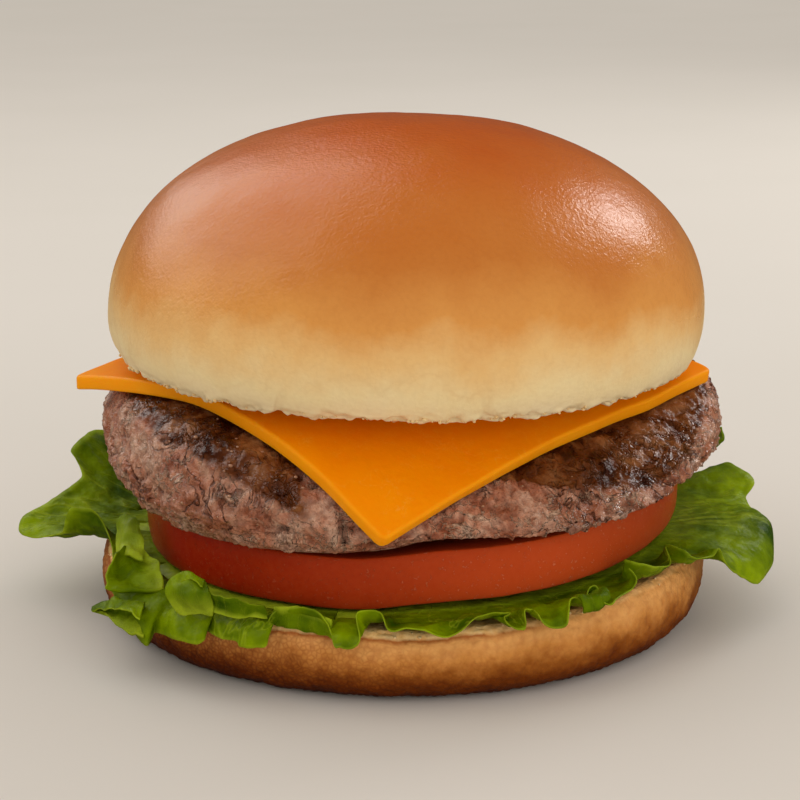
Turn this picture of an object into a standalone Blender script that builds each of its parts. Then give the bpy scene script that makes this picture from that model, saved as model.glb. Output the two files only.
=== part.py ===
"""A cheeseburger: heel, lettuce leaf, tomato slice, beef patty, cheese slice and crown.

Metres, +Z up. The origin is the middle of the heel's flat base, the front is -Y.
Each layer lies on the one below it with a gap of CLEARANCE, as loose food does.
"""
import math

import bmesh
import bpy
from mathutils import Vector, noise

CLEARANCE = 0.0003          # air between two neighbouring layers
MERGE = 0.0001              # merge distance of modifiers that weld
SHARP = math.radians(50)    # edges above this angle stay sharp
# Lobes make a round outline uneven. Each is (count round the burger, share of radius, phase).

# The bread
HEEL_RADIUS = 0.0575        # at the widest
HEEL_BASE_RADIUS = 0.0500   # the flat that it stands on
HEEL_CUT_RADIUS = 0.0545    # the edge of the cut face
HEEL_BELLY = 0.0065         # height of the widest line
HEEL_HEIGHT = 0.0114        # height of the cut face at the back
HEEL_LIFT = 0.0020          # the cut face is that much higher at the front
HEEL_LOBES = ((2, 0.006, 0.6), (3, 0.004, -1.1))
CROWN_RADIUS = 0.0563
CROWN_CUT_RADIUS = 0.0522   # the torn edge of its cut face
CROWN_BELLY = 0.0105        # widest line above the cut face
CROWN_DOME = 0.0340         # top above the widest line
CROWN_FULLNESS = 2.04       # 2 is an ellipse, more is fuller
CROWN_TILT = -0.018         # the cut face falls to the right, as a slope
CROWN_SLUMP = 0.034         # share by which its left shoulder is fallen in
CROWN_LOBES = ((3, 0.006, 0.4), (2, 0.004, -0.5))
CROWN_LIP = 0.0006          # height of the steep lip at the cut edge
CROWN_WAVE = (0.0006, 0.0220)       # height and size of its soft dents

# The tomato slice
TOMATO_RADIUS = 0.0507      # of the skin at half height
TOMATO_RIM_RADIUS = 0.0499
TOMATO_LOBES = ((5, 0.006, 0.8), (2, 0.005, 0.0))
TOMATO_THICKNESS = 0.0092
TOMATO_CENTRE = (0.0014, 0.0)
TOMATO_LIFT = 0.0024        # the frill under it lifts its front

# The patty
PATTY_RADIUS = 0.0584
PATTY_CENTRE = (0.0015, 0.0)
PATTY_FLAT = 0.0470         # radius of the flat underside
PATTY_THICKNESS = 0.0227    # in the middle
PATTY_TILT = -0.012         # its top falls to the right, as a slope
PATTY_BELLY = 0.64          # widest line, as a share of the thickness
PATTY_SHOULDER = 0.0055     # width of the rounded upper edge
PATTY_LOBES = ((2, 0.007, 2.4), (5, 0.006, 0.0))
PATTY_LUMP = 0.0008         # height of the mince's lumps
COARSE_LUMPS = 0.0085       # their sizes
FINE_LUMPS = 0.0042
FINE_SHARE = 0.7            # height of the fine ones as a share of the coarse ones
# Its top is domed: it falls away to the front, and a little to the left and the back
FALL_TURN = math.radians(21)        # the fall heads this far right of the front
FALL_START = 0.0165                 # from the middle to where it starts
FALL_BOW = 3.0                      # the starting line bows back at its ends, per metre
FALL_RADIUS = 0.0580
FALL_STEEPEST = math.radians(37)
LEFT_FALL = (0.0340, 5.0)           # start, and fall per square of the way past it
BACK_FALL = (0.0360, 3.0)

# The cheese slice, square, with one corner over the front
CHEESE_SIDE = 0.0846
CHEESE_THICKNESS = 0.0027
CHEESE_CENTRE = (-0.0023, -0.0050)
CHEESE_TURN = math.radians(44.7)
CHEESE_CORNER = 0.0015      # radius of its rounded corners
CHEESE_SAG = 0.0002         # more air under it, for its flat facets

# The lettuce leaf
LEAF_THICKNESS = 0.0008
LEAF_SPACE = 0.0015         # between heel and tomato
LEAF_RING = 0.0470          # inside this radius the leaf is pressed flat
LEAF_KEEP = 0.0012          # from a layer's surface to the middle of the leaf
# The leaf's edge, counter-clockwise from the right: azimuth in degrees (0 is right, -90 is
# the front), reach and height in millimetres. Each row is one crest, dip or tip of the frill.
FRILL = [
    (30, 66, 20), (26, 71, 25.5), (22, 68, 22), (19, 63.5, 20.5), (13, 67, 22.5),
    (8, 70, 21), (5, 68, 18.5), (1, 70.5, 16.5), (-5, 71, 12.5), (-11, 69, 9.5),
    (-16, 68, 8), (-20, 63, 12), (-22, 61, 16.5), (-25, 63.5, 15.5), (-28, 63, 18),
    (-32, 61, 17), (-35, 58.5, 20.5), (-38, 58, 18.5), (-42, 60, 20), (-45, 61, 16.5),
    (-49, 56.5, 19.5), (-53, 59, 18), (-56, 62, 17.5), (-59, 63, 14), (-61, 57.5, 17),
    (-65, 61.5, 13), (-69, 56.5, 16.8), (-73, 61.5, 12.5), (-78, 56.5, 16.0),
    (-83, 60, 13.6), (-86, 61, 15), (-91, 56.5, 16.8), (-95, 57, 15.5), (-99, 61.5, 12),
    (-103, 57, 14.8), (-108, 55.5, 16.2), (-112, 58, 14.5), (-116, 62, 10.0),
    (-120, 58, 14.0), (-124, 62, 9.0), (-127, 56, 16), (-131, 57, 20.5), (-134, 61, 13),
    (-137, 63, 7.5), (-140, 59, 10.5), (-145, 63, 8.5), (-148, 65, 11.5), (-152, 59, 14),
    (-156, 61, 10), (-161, 57, 14.5), (-167, 57, 21), (-173, 62, 14), (-177, 65, 18.5),
    (-182, 75, 14), (-187, 70, 17.5), (-191, 65, 20), (-196, 69, 24.5), (-201, 67, 29.5),
    (-206, 64, 28), (-211, 62, 20),
]
BACK_FOLDS = 7              # crests of the frill between the last row and the first
BACK_REACH = 0.0615
BACK_HEIGHT = 0.0150
BACK_RUFFLE = 0.0034

# Fineness of the faceted solids
ROUND_STEPS = 48
LEAF_COLUMNS = 220
LEAF_ROWS = 14
LEAF_INNER_ROWS = 4
LEAF_SHARE = 0.31           # of the leaf's triangles that stay after thinning
CHEESE_CELLS = 13

COLOURS = {                 # base colour and roughness
    "heel": ((0.45, 0.23, 0.08, 1), 0.60),
    "lettuce": ((0.15, 0.29, 0.03, 1), 0.40),
    "tomato": ((0.38, 0.04, 0.01, 1), 0.25),
    "patty": ((0.16, 0.07, 0.04, 1), 0.50),
    "cheese": ((0.80, 0.28, 0.01, 1), 0.35),
    "crown": ((0.50, 0.20, 0.05, 1), 0.30),
}


def clean_file():
    """Removes what the open file holds."""
    for thing in list(bpy.data.objects):
        bpy.data.objects.remove(thing, do_unlink=True)


def new_collection(name):
    collection = bpy.data.collections.new(name)
    bpy.context.scene.collection.children.link(collection)
    return collection


def food_material(name):
    """One Principled material for a layer."""
    colour, roughness = COLOURS[name]
    material = bpy.data.materials.new(name)
    material.use_nodes = True
    shader = material.node_tree.nodes["Principled BSDF"]
    shader.inputs["Base Color"].default_value = colour
    shader.inputs["Roughness"].default_value = roughness
    shader.inputs["Metallic"].default_value = 0.0
    return material


def add_object(name, mesh, collection):
    thing = bpy.data.objects.new(name, mesh)
    collection.objects.link(thing)
    return thing


def evaluated_mesh(thing):
    """The object's mesh with its modifiers worked in."""
    bpy.context.view_layer.update()
    graph = bpy.context.evaluated_depsgraph_get()
    return bpy.data.meshes.new_from_object(thing.evaluated_get(graph))


def arc(centre, radii, start, end, steps):
    """Points (radius, height) on an elliptic arc, angles in degrees."""
    points = []
    for i in range(steps + 1):
        angle = math.radians(start + (end - start) * i / steps)
        points.append((centre[0] + radii[0] * math.cos(angle), centre[1] + radii[1] * math.sin(angle)))
    return points


def turned(name, profile, collection):
    """A body turned about Z from a profile of (radius, height), top to bottom."""
    mesh = bpy.data.meshes.new(name + "_profile")
    edges = [(i, i + 1) for i in range(len(profile) - 1)]
    mesh.from_pydata([(radius, 0, height) for radius, height in profile], edges, [])
    thing = add_object(name, mesh, collection)
    screw = thing.modifiers.new("turn", "SCREW")
    screw.axis = "Z"
    screw.steps = ROUND_STEPS
    screw.render_steps = ROUND_STEPS
    screw.use_merge_vertices = True
    screw.merge_threshold = MERGE
    thing.data = evaluated_mesh(thing)
    thing.modifiers.clear()
    return thing


def reshape(thing, place):
    """Moves every vertex to where place() puts it."""
    for vertex in thing.data.vertices:
        vertex.co = place(vertex.co)


def finish(thing):
    """Gives the layer its material, outward faces and smooth shading."""
    mesh = thing.data
    mesh.name = thing.name
    work = bmesh.new()
    work.from_mesh(mesh)
    bmesh.ops.recalc_face_normals(work, faces=work.faces)
    work.to_mesh(mesh)
    work.free()
    mesh.materials.clear()
    mesh.materials.append(food_material(thing.name))
    mesh.shade_smooth()
    mesh.set_sharp_from_angle(angle=SHARP)


def lobed(angle, lobes):
    """Share of its radius that an uneven round has in a direction."""
    return 1 + sum(size * math.sin(count * angle + phase) for count, size, phase in lobes)


def smooth_step(low, high, value):
    """0 below low, 1 above high, smooth between."""
    share = min(max((value - low) / (high - low), 0.0), 1.0)
    return share * share * (3.0 - 2.0 * share)


def lumps(point, size, seed):
    """Soft noise between about -1 and 1, with lumps of the given size."""
    return noise.noise(Vector(point) / size + Vector((seed, 2.7 * seed, -1.3 * seed)))


# ---------------------------------------------------------------- where the layers meet

def front_lift(y, lift):
    """Rise of a layer towards the front, at -Y."""
    share = max(0.0, -y) / HEEL_RADIUS
    return lift * share * share


def heel_top(x, y):
    return HEEL_HEIGHT + front_lift(y, HEEL_LIFT)


def tomato_bottom(x, y):
    return HEEL_HEIGHT + LEAF_SPACE + front_lift(y, TOMATO_LIFT)


def tomato_top(x, y):
    return tomato_bottom(x, y) + TOMATO_THICKNESS


def patty_bottom(x, y):
    return tomato_top(x, y) + CLEARANCE


def fall_start(along):
    """Where the fall to the front starts, along its line."""
    return FALL_START - FALL_BOW * along * along


def front_fall(x, y):
    """How far the patty's top has fallen at a point."""
    ahead = x * math.sin(FALL_TURN) - y * math.cos(FALL_TURN)
    along = x * math.cos(FALL_TURN) + y * math.sin(FALL_TURN)
    past = max(ahead - fall_start(along), 0.0)
    reach = FALL_RADIUS * math.sin(FALL_STEEPEST)
    arc_part = min(past, reach)
    fall = FALL_RADIUS - math.sqrt(FALL_RADIUS ** 2 - arc_part ** 2)
    return fall + (past - arc_part) * math.tan(FALL_STEEPEST)


def side_fall(x, y):
    """The gentle fall to the left and to the back."""
    left = max(-x - LEFT_FALL[0], 0.0)
    back = max(y - BACK_FALL[0], 0.0)
    return LEFT_FALL[1] * left * left + BACK_FALL[1] * back * back


def patty_top(x, y):
    level = tomato_top(0, 0) + CLEARANCE + PATTY_THICKNESS + PATTY_TILT * x
    return level - front_fall(x, y) - side_fall(x, y)


def crown_bottom(x, y):
    """Just above the cheese where the tilted cut face comes nearest to it."""
    touch = CROWN_CUT_RADIUS
    nearest = patty_top(touch, 0.03) + CHEESE_THICKNESS + CHEESE_SAG + 2 * CLEARANCE
    return nearest + CROWN_TILT * (x - touch)


# ---------------------------------------------------------------- the layers

def make_heel(collection):
    """Flat base, bulging crust, and a flat cut face that rises to the front."""
    belly = (HEEL_BASE_RADIUS, HEEL_BELLY)
    side = arc(belly, (HEEL_RADIUS - HEEL_BASE_RADIUS, HEEL_BELLY), 0, -90, 4)
    upper = (HEEL_RADIUS - HEEL_CUT_RADIUS, HEEL_HEIGHT - HEEL_BELLY)
    rim = arc((HEEL_CUT_RADIUS, HEEL_BELLY), upper, 90, 25, 3)
    profile = [(0, HEEL_HEIGHT), (0.025, HEEL_HEIGHT), (0.040, HEEL_HEIGHT)] + rim + side + [(0, 0)]
    heel = turned("heel", profile, collection)

    def place(point):
        share = smooth_step(0.0, HEEL_HEIGHT, point.z)
        swell = lobed(math.atan2(point.y, point.x), HEEL_LOBES)
        rise = (heel_top(point.x, point.y) - HEEL_HEIGHT) * share
        return Vector((point.x * swell, point.y * swell, point.z + rise))

    reshape(heel, place)
    return heel


def make_tomato(collection):
    """A thick round slice, its skin side a little bulged."""
    half = TOMATO_THICKNESS / 2
    middle = TOMATO_RIM_RADIUS / 2
    skin = arc((TOMATO_RIM_RADIUS, half), (TOMATO_RADIUS - TOMATO_RIM_RADIUS, half), 90, -90, 6)
    profile = [(0, TOMATO_THICKNESS), (middle, TOMATO_THICKNESS)] + skin + [(middle, 0), (0, 0)]
    tomato = turned("tomato", profile, collection)

    def place(point):
        swell = lobed(math.atan2(point.y, point.x), TOMATO_LOBES)
        x = point.x * swell + TOMATO_CENTRE[0]
        y = point.y * swell + TOMATO_CENTRE[1]
        return Vector((x, y, tomato_bottom(x, y) + point.z))

    reshape(tomato, place)
    return tomato


def patty_rows():
    """The rows of the patty from the middle of its underside up and round to its top."""
    rows = [("flat", 0.0), ("flat", 0.45), ("flat", 0.80)]
    rows += [("under", i / 7) for i in range(8)]         # out to the widest line
    rows += [("shoulder", i / 4) for i in range(1, 5)]
    rows += [("top", share) for share in (0.75, 0.50, 0.25, 0.0)]
    return rows


def patty_point(row, angle):
    """Radius, share of the height and looseness of one row of the patty in a direction."""
    kind, share = row
    edge = PATTY_RADIUS * lobed(angle, PATTY_LOBES)
    turn = math.radians(90 * share)
    if kind == "flat":
        return PATTY_FLAT * share, 0.0, 0.0
    if kind == "under":
        radius = PATTY_FLAT + (edge - PATTY_FLAT) * math.sin(turn)
        return radius, PATTY_BELLY * (1 - math.cos(turn)), smooth_step(0.0, 0.25, share)
    if kind == "shoulder":
        radius = edge - PATTY_SHOULDER * (1 - math.cos(turn))
        height = PATTY_BELLY + (1 - PATTY_BELLY) * math.sin(turn)
        return radius, height, 1 - smooth_step(0.35, 0.95, share)
    return (edge - PATTY_SHOULDER) * share, 1.0, 0.0


def make_patty(collection):
    """Ground beef: flat below, bulging side, rounded shoulder, lumpy all over."""
    rows = patty_rows()
    last = len(rows) - 1
    patty = turned("patty", [(0 if i in (0, last) else 1, i) for i in range(last, -1, -1)], collection)

    def place(point):
        angle = math.atan2(point.y, point.x)
        radius, height, loose = patty_point(rows[round(point.z)], angle)
        cos, sin = math.cos(angle), math.sin(angle)
        spot = Vector((radius * cos, radius * sin, height * PATTY_THICKNESS))
        bump = lumps(spot, COARSE_LUMPS, 4.0) + FINE_SHARE * lumps(spot, FINE_LUMPS, 9.0)
        x = spot.x + PATTY_CENTRE[0]
        y = spot.y + PATTY_CENTRE[1]
        low, high = patty_bottom(x, y), patty_top(x, y)
        # the side bulges with the lumps, the flat faces are only dented by them
        swell = loose * PATTY_LUMP * bump
        dent = (1 - loose) * PATTY_LUMP * FINE_SHARE * abs(bump)
        z = low + (high - low) * height + math.copysign(dent, 0.5 - height)
        return Vector((x + cos * swell, y + sin * swell, z))

    reshape(patty, place)
    return patty


def drape(x, y, lift):
    """Where a point of the flat slice comes to lie, lift above its underside."""
    sin, cos = math.sin(FALL_TURN), math.cos(FALL_TURN)
    ahead = x * sin - y * cos
    along = x * cos + y * sin
    start = fall_start(along)
    run = max(ahead - start, 0.0)
    turn = min(run / FALL_RADIUS, FALL_STEEPEST)
    rest = run - FALL_RADIUS * turn
    lean = lift * math.sin(turn)
    ahead = min(ahead, start) + FALL_RADIUS * math.sin(turn) + rest * math.cos(turn)
    fall = FALL_RADIUS * (1 - math.cos(turn)) + rest * math.sin(turn)
    bent_x = along * cos + ahead * sin
    bent_y = along * sin - ahead * cos
    level = patty_top(0, 0) + PATTY_TILT * bent_x - side_fall(bent_x, bent_y)
    air = CLEARANCE + CHEESE_SAG / math.cos(turn)
    height = level + air - fall + lift * math.cos(turn)
    return Vector((bent_x + lean * sin, bent_y - lean * cos, height))


def round_corner(x, y):
    """Pulls the sharp corners of the flat square in to a small arc."""
    half = CHEESE_SIDE / 2
    inner = half - CHEESE_CORNER
    dx, dy = abs(x) - inner, abs(y) - inner
    if dx > 0 and dy > 0:
        shrink = max(dx, dy) / math.hypot(dx, dy)
        dx, dy = dx * shrink, dy * shrink
        x, y = math.copysign(inner + dx, x), math.copysign(inner + dy, y)
    return x, y


def make_cheese(collection):
    """A square slice that hangs over the patty's front edge by one corner."""
    work = bmesh.new()
    bmesh.ops.create_grid(work, x_segments=CHEESE_CELLS, y_segments=CHEESE_CELLS, size=0.5)
    mesh = bpy.data.meshes.new("cheese")
    slab = bmesh.ops.extrude_face_region(work, geom=work.faces[:])
    for corner in slab["geom"]:
        if isinstance(corner, bmesh.types.BMVert):
            corner.co.z = 1.0
    work.to_mesh(mesh)
    work.free()
    cheese = add_object("cheese", mesh, collection)

    def place(point):
        x, y = round_corner(point.x * CHEESE_SIDE, point.y * CHEESE_SIDE)
        cos, sin = math.cos(CHEESE_TURN), math.sin(CHEESE_TURN)
        flat_x = x * cos - y * sin + CHEESE_CENTRE[0]
        flat_y = x * sin + y * cos + CHEESE_CENTRE[1]
        return drape(flat_x, flat_y, point.z * CHEESE_THICKNESS)

    reshape(cheese, place)
    return cheese


def make_crown(collection):
    """The domed top of the bun, a little uneven, on a tilted cut face."""
    height = CROWN_BELLY + CROWN_DOME
    power = 2 / CROWN_FULLNESS
    dome = []
    for share_x, share_z in arc((0, 0), (1, 1), 80, 0, 8):
        dome.append((CROWN_RADIUS * share_x ** power, CROWN_BELLY + CROWN_DOME * share_z ** power))
    flare = (CROWN_RADIUS - CROWN_CUT_RADIUS, CROWN_BELLY - CROWN_LIP)
    side = arc((CROWN_CUT_RADIUS, CROWN_BELLY), flare, 0, -90, 4)[1:]
    cut = [(CROWN_CUT_RADIUS - CROWN_LIP, 0), (CROWN_CUT_RADIUS / 2, 0), (0, 0)]
    crown = turned("crown", [(0, height)] + dome + side + cut, collection)

    def place(point):
        share = point.z / height
        angle = math.atan2(point.y, point.x)
        swell = lobed(angle, CROWN_LOBES)
        slump = CROWN_SLUMP * max(0.0, -math.cos(angle)) * math.sin(math.pi * share ** 1.3)
        x, y = point.x * (swell - slump), point.y * swell
        tall, size = CROWN_WAVE
        wave = tall * lumps(point, size, 3.0) * smooth_step(0.0, tall, point.z)
        base = crown_bottom(0, 0)
        rise = (crown_bottom(x, y) - base) * (1 - smooth_step(0.0, 1.0, share))
        return Vector((x, y, base + rise + point.z)) + point.normalized() * wave

    reshape(crown, place)
    return crown


# ---------------------------------------------------------------- the leaf

def frill_rows():
    """The edge's rows in metres and radians, the hidden back filled in by rule."""
    rows = [(math.radians(turn), reach * 0.001, height * 0.001) for turn, reach, height in FRILL]
    start = FRILL[-1][0]
    span = 360 - (FRILL[0][0] - FRILL[-1][0])
    steps = 2 * BACK_FOLDS
    for i in range(1, steps):
        side = 1 if i % 2 else -1
        swell = 1 + 0.35 * math.sin(2.3 * i)
        turn = math.radians(start - span * i / steps)
        rows.append((turn, BACK_REACH + side * 0.5 * BACK_RUFFLE, BACK_HEIGHT - side * BACK_RUFFLE * swell))
    return rows


def edge_point(rows, share):
    """Azimuth, reach and height of the leaf's edge, share 0 to 1 round the leaf."""
    count = len(rows)
    place = (share % 1.0) * count
    first = int(place) % count
    step = place - int(place)
    knots = []
    for k in (-1, 0, 1, 2):
        turn, reach, height = rows[(first + k) % count]
        turn -= 2 * math.pi * ((first + k) // count)
        knots.append((turn, reach, height))
    weights = (
        -0.5 * step + step ** 2 - 0.5 * step ** 3,
        1 - 2.5 * step ** 2 + 1.5 * step ** 3,
        0.5 * step + 2 * step ** 2 - 1.5 * step ** 3,
        -0.5 * step ** 2 + 0.5 * step ** 3,
    )
    return [sum(weight * knot[i] for weight, knot in zip(weights, knots)) for i in range(3)]


def pressed_height(x, y):
    """The leaf's middle between the heel and the tomato."""
    return 0.5 * (heel_top(x, y) + tomato_bottom(x, y))


def clear_of_stack(radius, height, x, y):
    """Pushes a point of the leaf out of the layers beside it, the shorter way."""
    pressed = pressed_height(x, y)
    over = max(tomato_bottom(x, y) - LEAF_KEEP, pressed)
    under = min(heel_top(x, y) + LEAF_KEEP, pressed)
    wall = TOMATO_RADIUS + TOMATO_CENTRE[0] + LEAF_KEEP
    if radius < wall and over < height < tomato_top(x, y) + LEAF_KEEP:
        if height - over > wall - radius:
            radius = wall
        else:
            height = over
    if radius < HEEL_CUT_RADIUS + LEAF_KEEP and height < under:
        height = under
    elif height < heel_top(x, y) + LEAF_KEEP:
        rise = max(height - HEEL_BELLY, 0.0) / (heel_top(x, y) + LEAF_KEEP - HEEL_BELLY)
        most = 1 + sum(lobe[1] for lobe in HEEL_LOBES)
        bulge = HEEL_RADIUS * most - HEEL_CUT_RADIUS
        radius = max(radius, HEEL_CUT_RADIUS + bulge * math.sqrt(1 - rise * rise) + LEAF_KEEP)
    return radius, height


def make_lettuce(collection):
    """One ruffled leaf between heel and tomato, its frill out all round."""
    work = bmesh.new()
    bmesh.ops.create_grid(work, x_segments=LEAF_COLUMNS, y_segments=LEAF_ROWS, size=0.5)
    rows = frill_rows()
    for vertex in work.verts:
        column = round((vertex.co.x + 0.5) * LEAF_COLUMNS) % LEAF_COLUMNS
        row = round((vertex.co.y + 0.5) * LEAF_ROWS)
        vertex.co = leaf_point(rows, column / LEAF_COLUMNS, row)
    bmesh.ops.remove_doubles(work, verts=work.verts, dist=0.00001)
    mesh = bpy.data.meshes.new("lettuce")
    work.to_mesh(mesh)
    work.free()
    leaf = add_object("lettuce", mesh, collection)
    thin = leaf.modifiers.new("thin_out", "DECIMATE")
    thin.ratio = LEAF_SHARE
    wall = leaf.modifiers.new("thickness", "SOLIDIFY")
    wall.thickness = LEAF_THICKNESS
    wall.offset = 0.0
    leaf.data = evaluated_mesh(leaf)
    leaf.modifiers.clear()
    return leaf


def leaf_point(rows, share, row):
    """A point of the leaf's middle surface, row 0 at its centre."""
    turn, reach, height = edge_point(rows, share)
    if row <= LEAF_INNER_ROWS:
        radius = LEAF_RING * row / LEAF_INNER_ROWS
        smooth_turn = ring_turn(rows, share)
        x, y = radius * math.cos(smooth_turn), radius * math.sin(smooth_turn)
        return Vector((x, y, pressed_height(x, y)))
    out = (row - LEAF_INNER_ROWS) / (LEAF_ROWS - LEAF_INNER_ROWS)
    base_turn = ring_turn(rows, share)
    angle = base_turn + (turn - base_turn) * smooth_step(0.0, 1.0, out)
    ring_z = pressed_height(LEAF_RING * math.cos(angle), LEAF_RING * math.sin(angle))
    bend = LEAF_RING + 0.55 * (reach - LEAF_RING)
    bend_z = ring_z + 0.0010 + 0.28 * (height - ring_z)
    a, b, c = (1 - out) ** 2, 2 * out * (1 - out), out * out
    radius = a * LEAF_RING + b * bend + c * reach
    z = a * ring_z + b * bend_z + c * height
    x, y = radius * math.cos(angle), radius * math.sin(angle)
    radius, z = clear_of_stack(radius, z, x, y)
    return Vector((radius * math.cos(angle), radius * math.sin(angle), z))


def ring_turn(rows, share):
    """Azimuth on the pressed ring, evened out so that the pleats run together there."""
    spread = 3.0 / len(rows)
    steps = (-1.0, -0.5, 0.0, 0.5, 1.0)
    return sum(unwrapped_turn(rows, share + spread * step) for step in steps) / len(steps)


def unwrapped_turn(rows, share):
    """Azimuth of the edge that goes on past a full round."""
    rounds = math.floor(share)
    return edge_point(rows, share - rounds)[0] - 2 * math.pi * rounds


def main():
    clean_file()
    burger = new_collection("cheeseburger")
    for make in (make_heel, make_lettuce, make_tomato, make_patty, make_cheese, make_crown):
        finish(make(burger))


main()
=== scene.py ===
"""The looks of the cheeseburger: crust, crumb, seared mince, cheese, tomato and leaf."""
import math
import random

import bpy
from mathutils import Matrix, Vector, noise


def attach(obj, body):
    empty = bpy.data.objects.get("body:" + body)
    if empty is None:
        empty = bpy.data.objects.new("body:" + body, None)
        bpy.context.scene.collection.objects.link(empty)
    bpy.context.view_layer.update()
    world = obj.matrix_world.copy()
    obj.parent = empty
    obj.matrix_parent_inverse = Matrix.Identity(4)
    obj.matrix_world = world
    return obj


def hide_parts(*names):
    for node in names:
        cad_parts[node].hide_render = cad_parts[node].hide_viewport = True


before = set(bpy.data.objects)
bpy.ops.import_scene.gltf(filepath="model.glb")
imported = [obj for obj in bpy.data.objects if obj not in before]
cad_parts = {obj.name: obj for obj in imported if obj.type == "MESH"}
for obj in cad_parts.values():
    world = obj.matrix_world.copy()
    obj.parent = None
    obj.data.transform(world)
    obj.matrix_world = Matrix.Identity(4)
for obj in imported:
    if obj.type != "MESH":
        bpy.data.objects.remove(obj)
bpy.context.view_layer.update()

# ---------------------------------------------------------------- sizes, in metres

CLEARANCE = 0.0003          # air between two neighbouring layers

HEEL_RADIUS = 0.0575
HEEL_BASE_RADIUS = 0.0500
HEEL_CUT_RADIUS = 0.0545
HEEL_BELLY = 0.0065
HEEL_HEIGHT = 0.0114
HEEL_LIFT = 0.0020
SIDE_LIFT = (1.05, 1.55)     # to the left and to the right, against the front
HEEL_CUT = 0.0101           # where the knife went through the crust
HEEL_LOBES = ((2, 0.006, 0.6), (3, 0.004, -1.1))

CROWN_RADIUS = 0.0563
CROWN_CUT_RADIUS = 0.0522
CROWN_BELLY = 0.0105
CROWN_DOME = 0.0340
CROWN_HEIGHT = CROWN_BELLY + CROWN_DOME
CROWN_FULLNESS = 2.04
CROWN_TILT = -0.018
CROWN_SLUMP = 0.034
CROWN_LOBES = ((3, 0.006, 0.4), (2, 0.004, -0.5))
CROWN_LIP = 0.0006
CROWN_WAVE = (0.0006, 0.0220)

TOMATO_RADIUS = 0.0507
TOMATO_RIM_RADIUS = 0.0499
TOMATO_LOBES = ((5, 0.006, 0.8), (2, 0.005, 0.0))
TOMATO_THICKNESS = 0.0092
TOMATO_CENTRE = (0.0014, 0.0)
TOMATO_LIFT = 0.0024
TOMATO_RAISE = 0.0017       # the slice rides up on the leaf's folds at the right

PATTY_RADIUS = 0.0584
PATTY_CENTRE = (0.0015, 0.0)
PATTY_FLAT = 0.0470
PATTY_THICKNESS = 0.0227
PATTY_TILT = -0.012
PATTY_BELLY = 0.64
PATTY_SHOULDER = 0.0055
PATTY_LOBES = ((2, 0.007, 2.4), (5, 0.006, 0.0))
PATTY_LUMP = 0.0008
PATTY_LIFTED = (-0.007, 0.14)     # change of the flat and of the belly where the underside lifts
PATTY_SAGGED = (0.005, -0.24)     # and where it sags
BEAD_LOWEST = 0.025               # no beads of fat below this height
SEAR_RIGHT = (0.0465, 0.0105)     # reach of the seared top at the front, and how much more at the right
SEAR_LEFT = (0.0215, 0.70, 5.4)   # height of the seared line: in the middle, its rise and its droop
UPLIFT_TURN = math.radians(-64)   # where the patty's underside lifts off the tomato
UPLIFT_NARROW = 0.045
UPLIFT_HEIGHT = 0.0022
DROOP_TURN = math.radians(-125)   # where it sags over the tomato's edge
COARSE_LUMPS = 0.0085
FINE_LUMPS = 0.0042
FINE_SHARE = 0.7
FALL_TURN = math.radians(21)
FALL_START = 0.0165
FALL_BOW = 3.0
FALL_RADIUS = 0.0580
FALL_STEEPEST = math.radians(37)
LEFT_FALL = (0.0340, 5.0)
BACK_FALL = (0.0360, 3.0)
RIGHT_CURL = 0.0017

CHEESE_SIDE = 0.0846
CHEESE_THICKNESS = 0.0027
CHEESE_CENTRE = (-0.0023, -0.0050)
CHEESE_TURN = math.radians(44.7)
CHEESE_CORNER = 0.0015
CHEESE_SAG = 0.0002
CHEESE_ROUNDING = 0.00055
CHEESE_WAVE = (0.00025, 0.0090)   # how far its edge wanders, and over what length
# painted highlight: the strip along the slice's edge is painted paler
CHEESE_HIGHLIGHT_STRIP = (0.0009, 0.0003)  # the paler strip along the edge, from and to

LEAF_THICKNESS = 0.0006
LEAF_SPACE = 0.0015
LEAF_RING = 0.0470
LEAF_KEEP = 0.0010
LEAF_CURL = 0.0014                # how far inside its edge the leaf turns up or down
LEAF_TURNOVER = 0.0565            # reach at which it turns up at the latest
LEAF_EDGE_SHARE = 0.35            # of its thickness, kept at the edge
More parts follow.
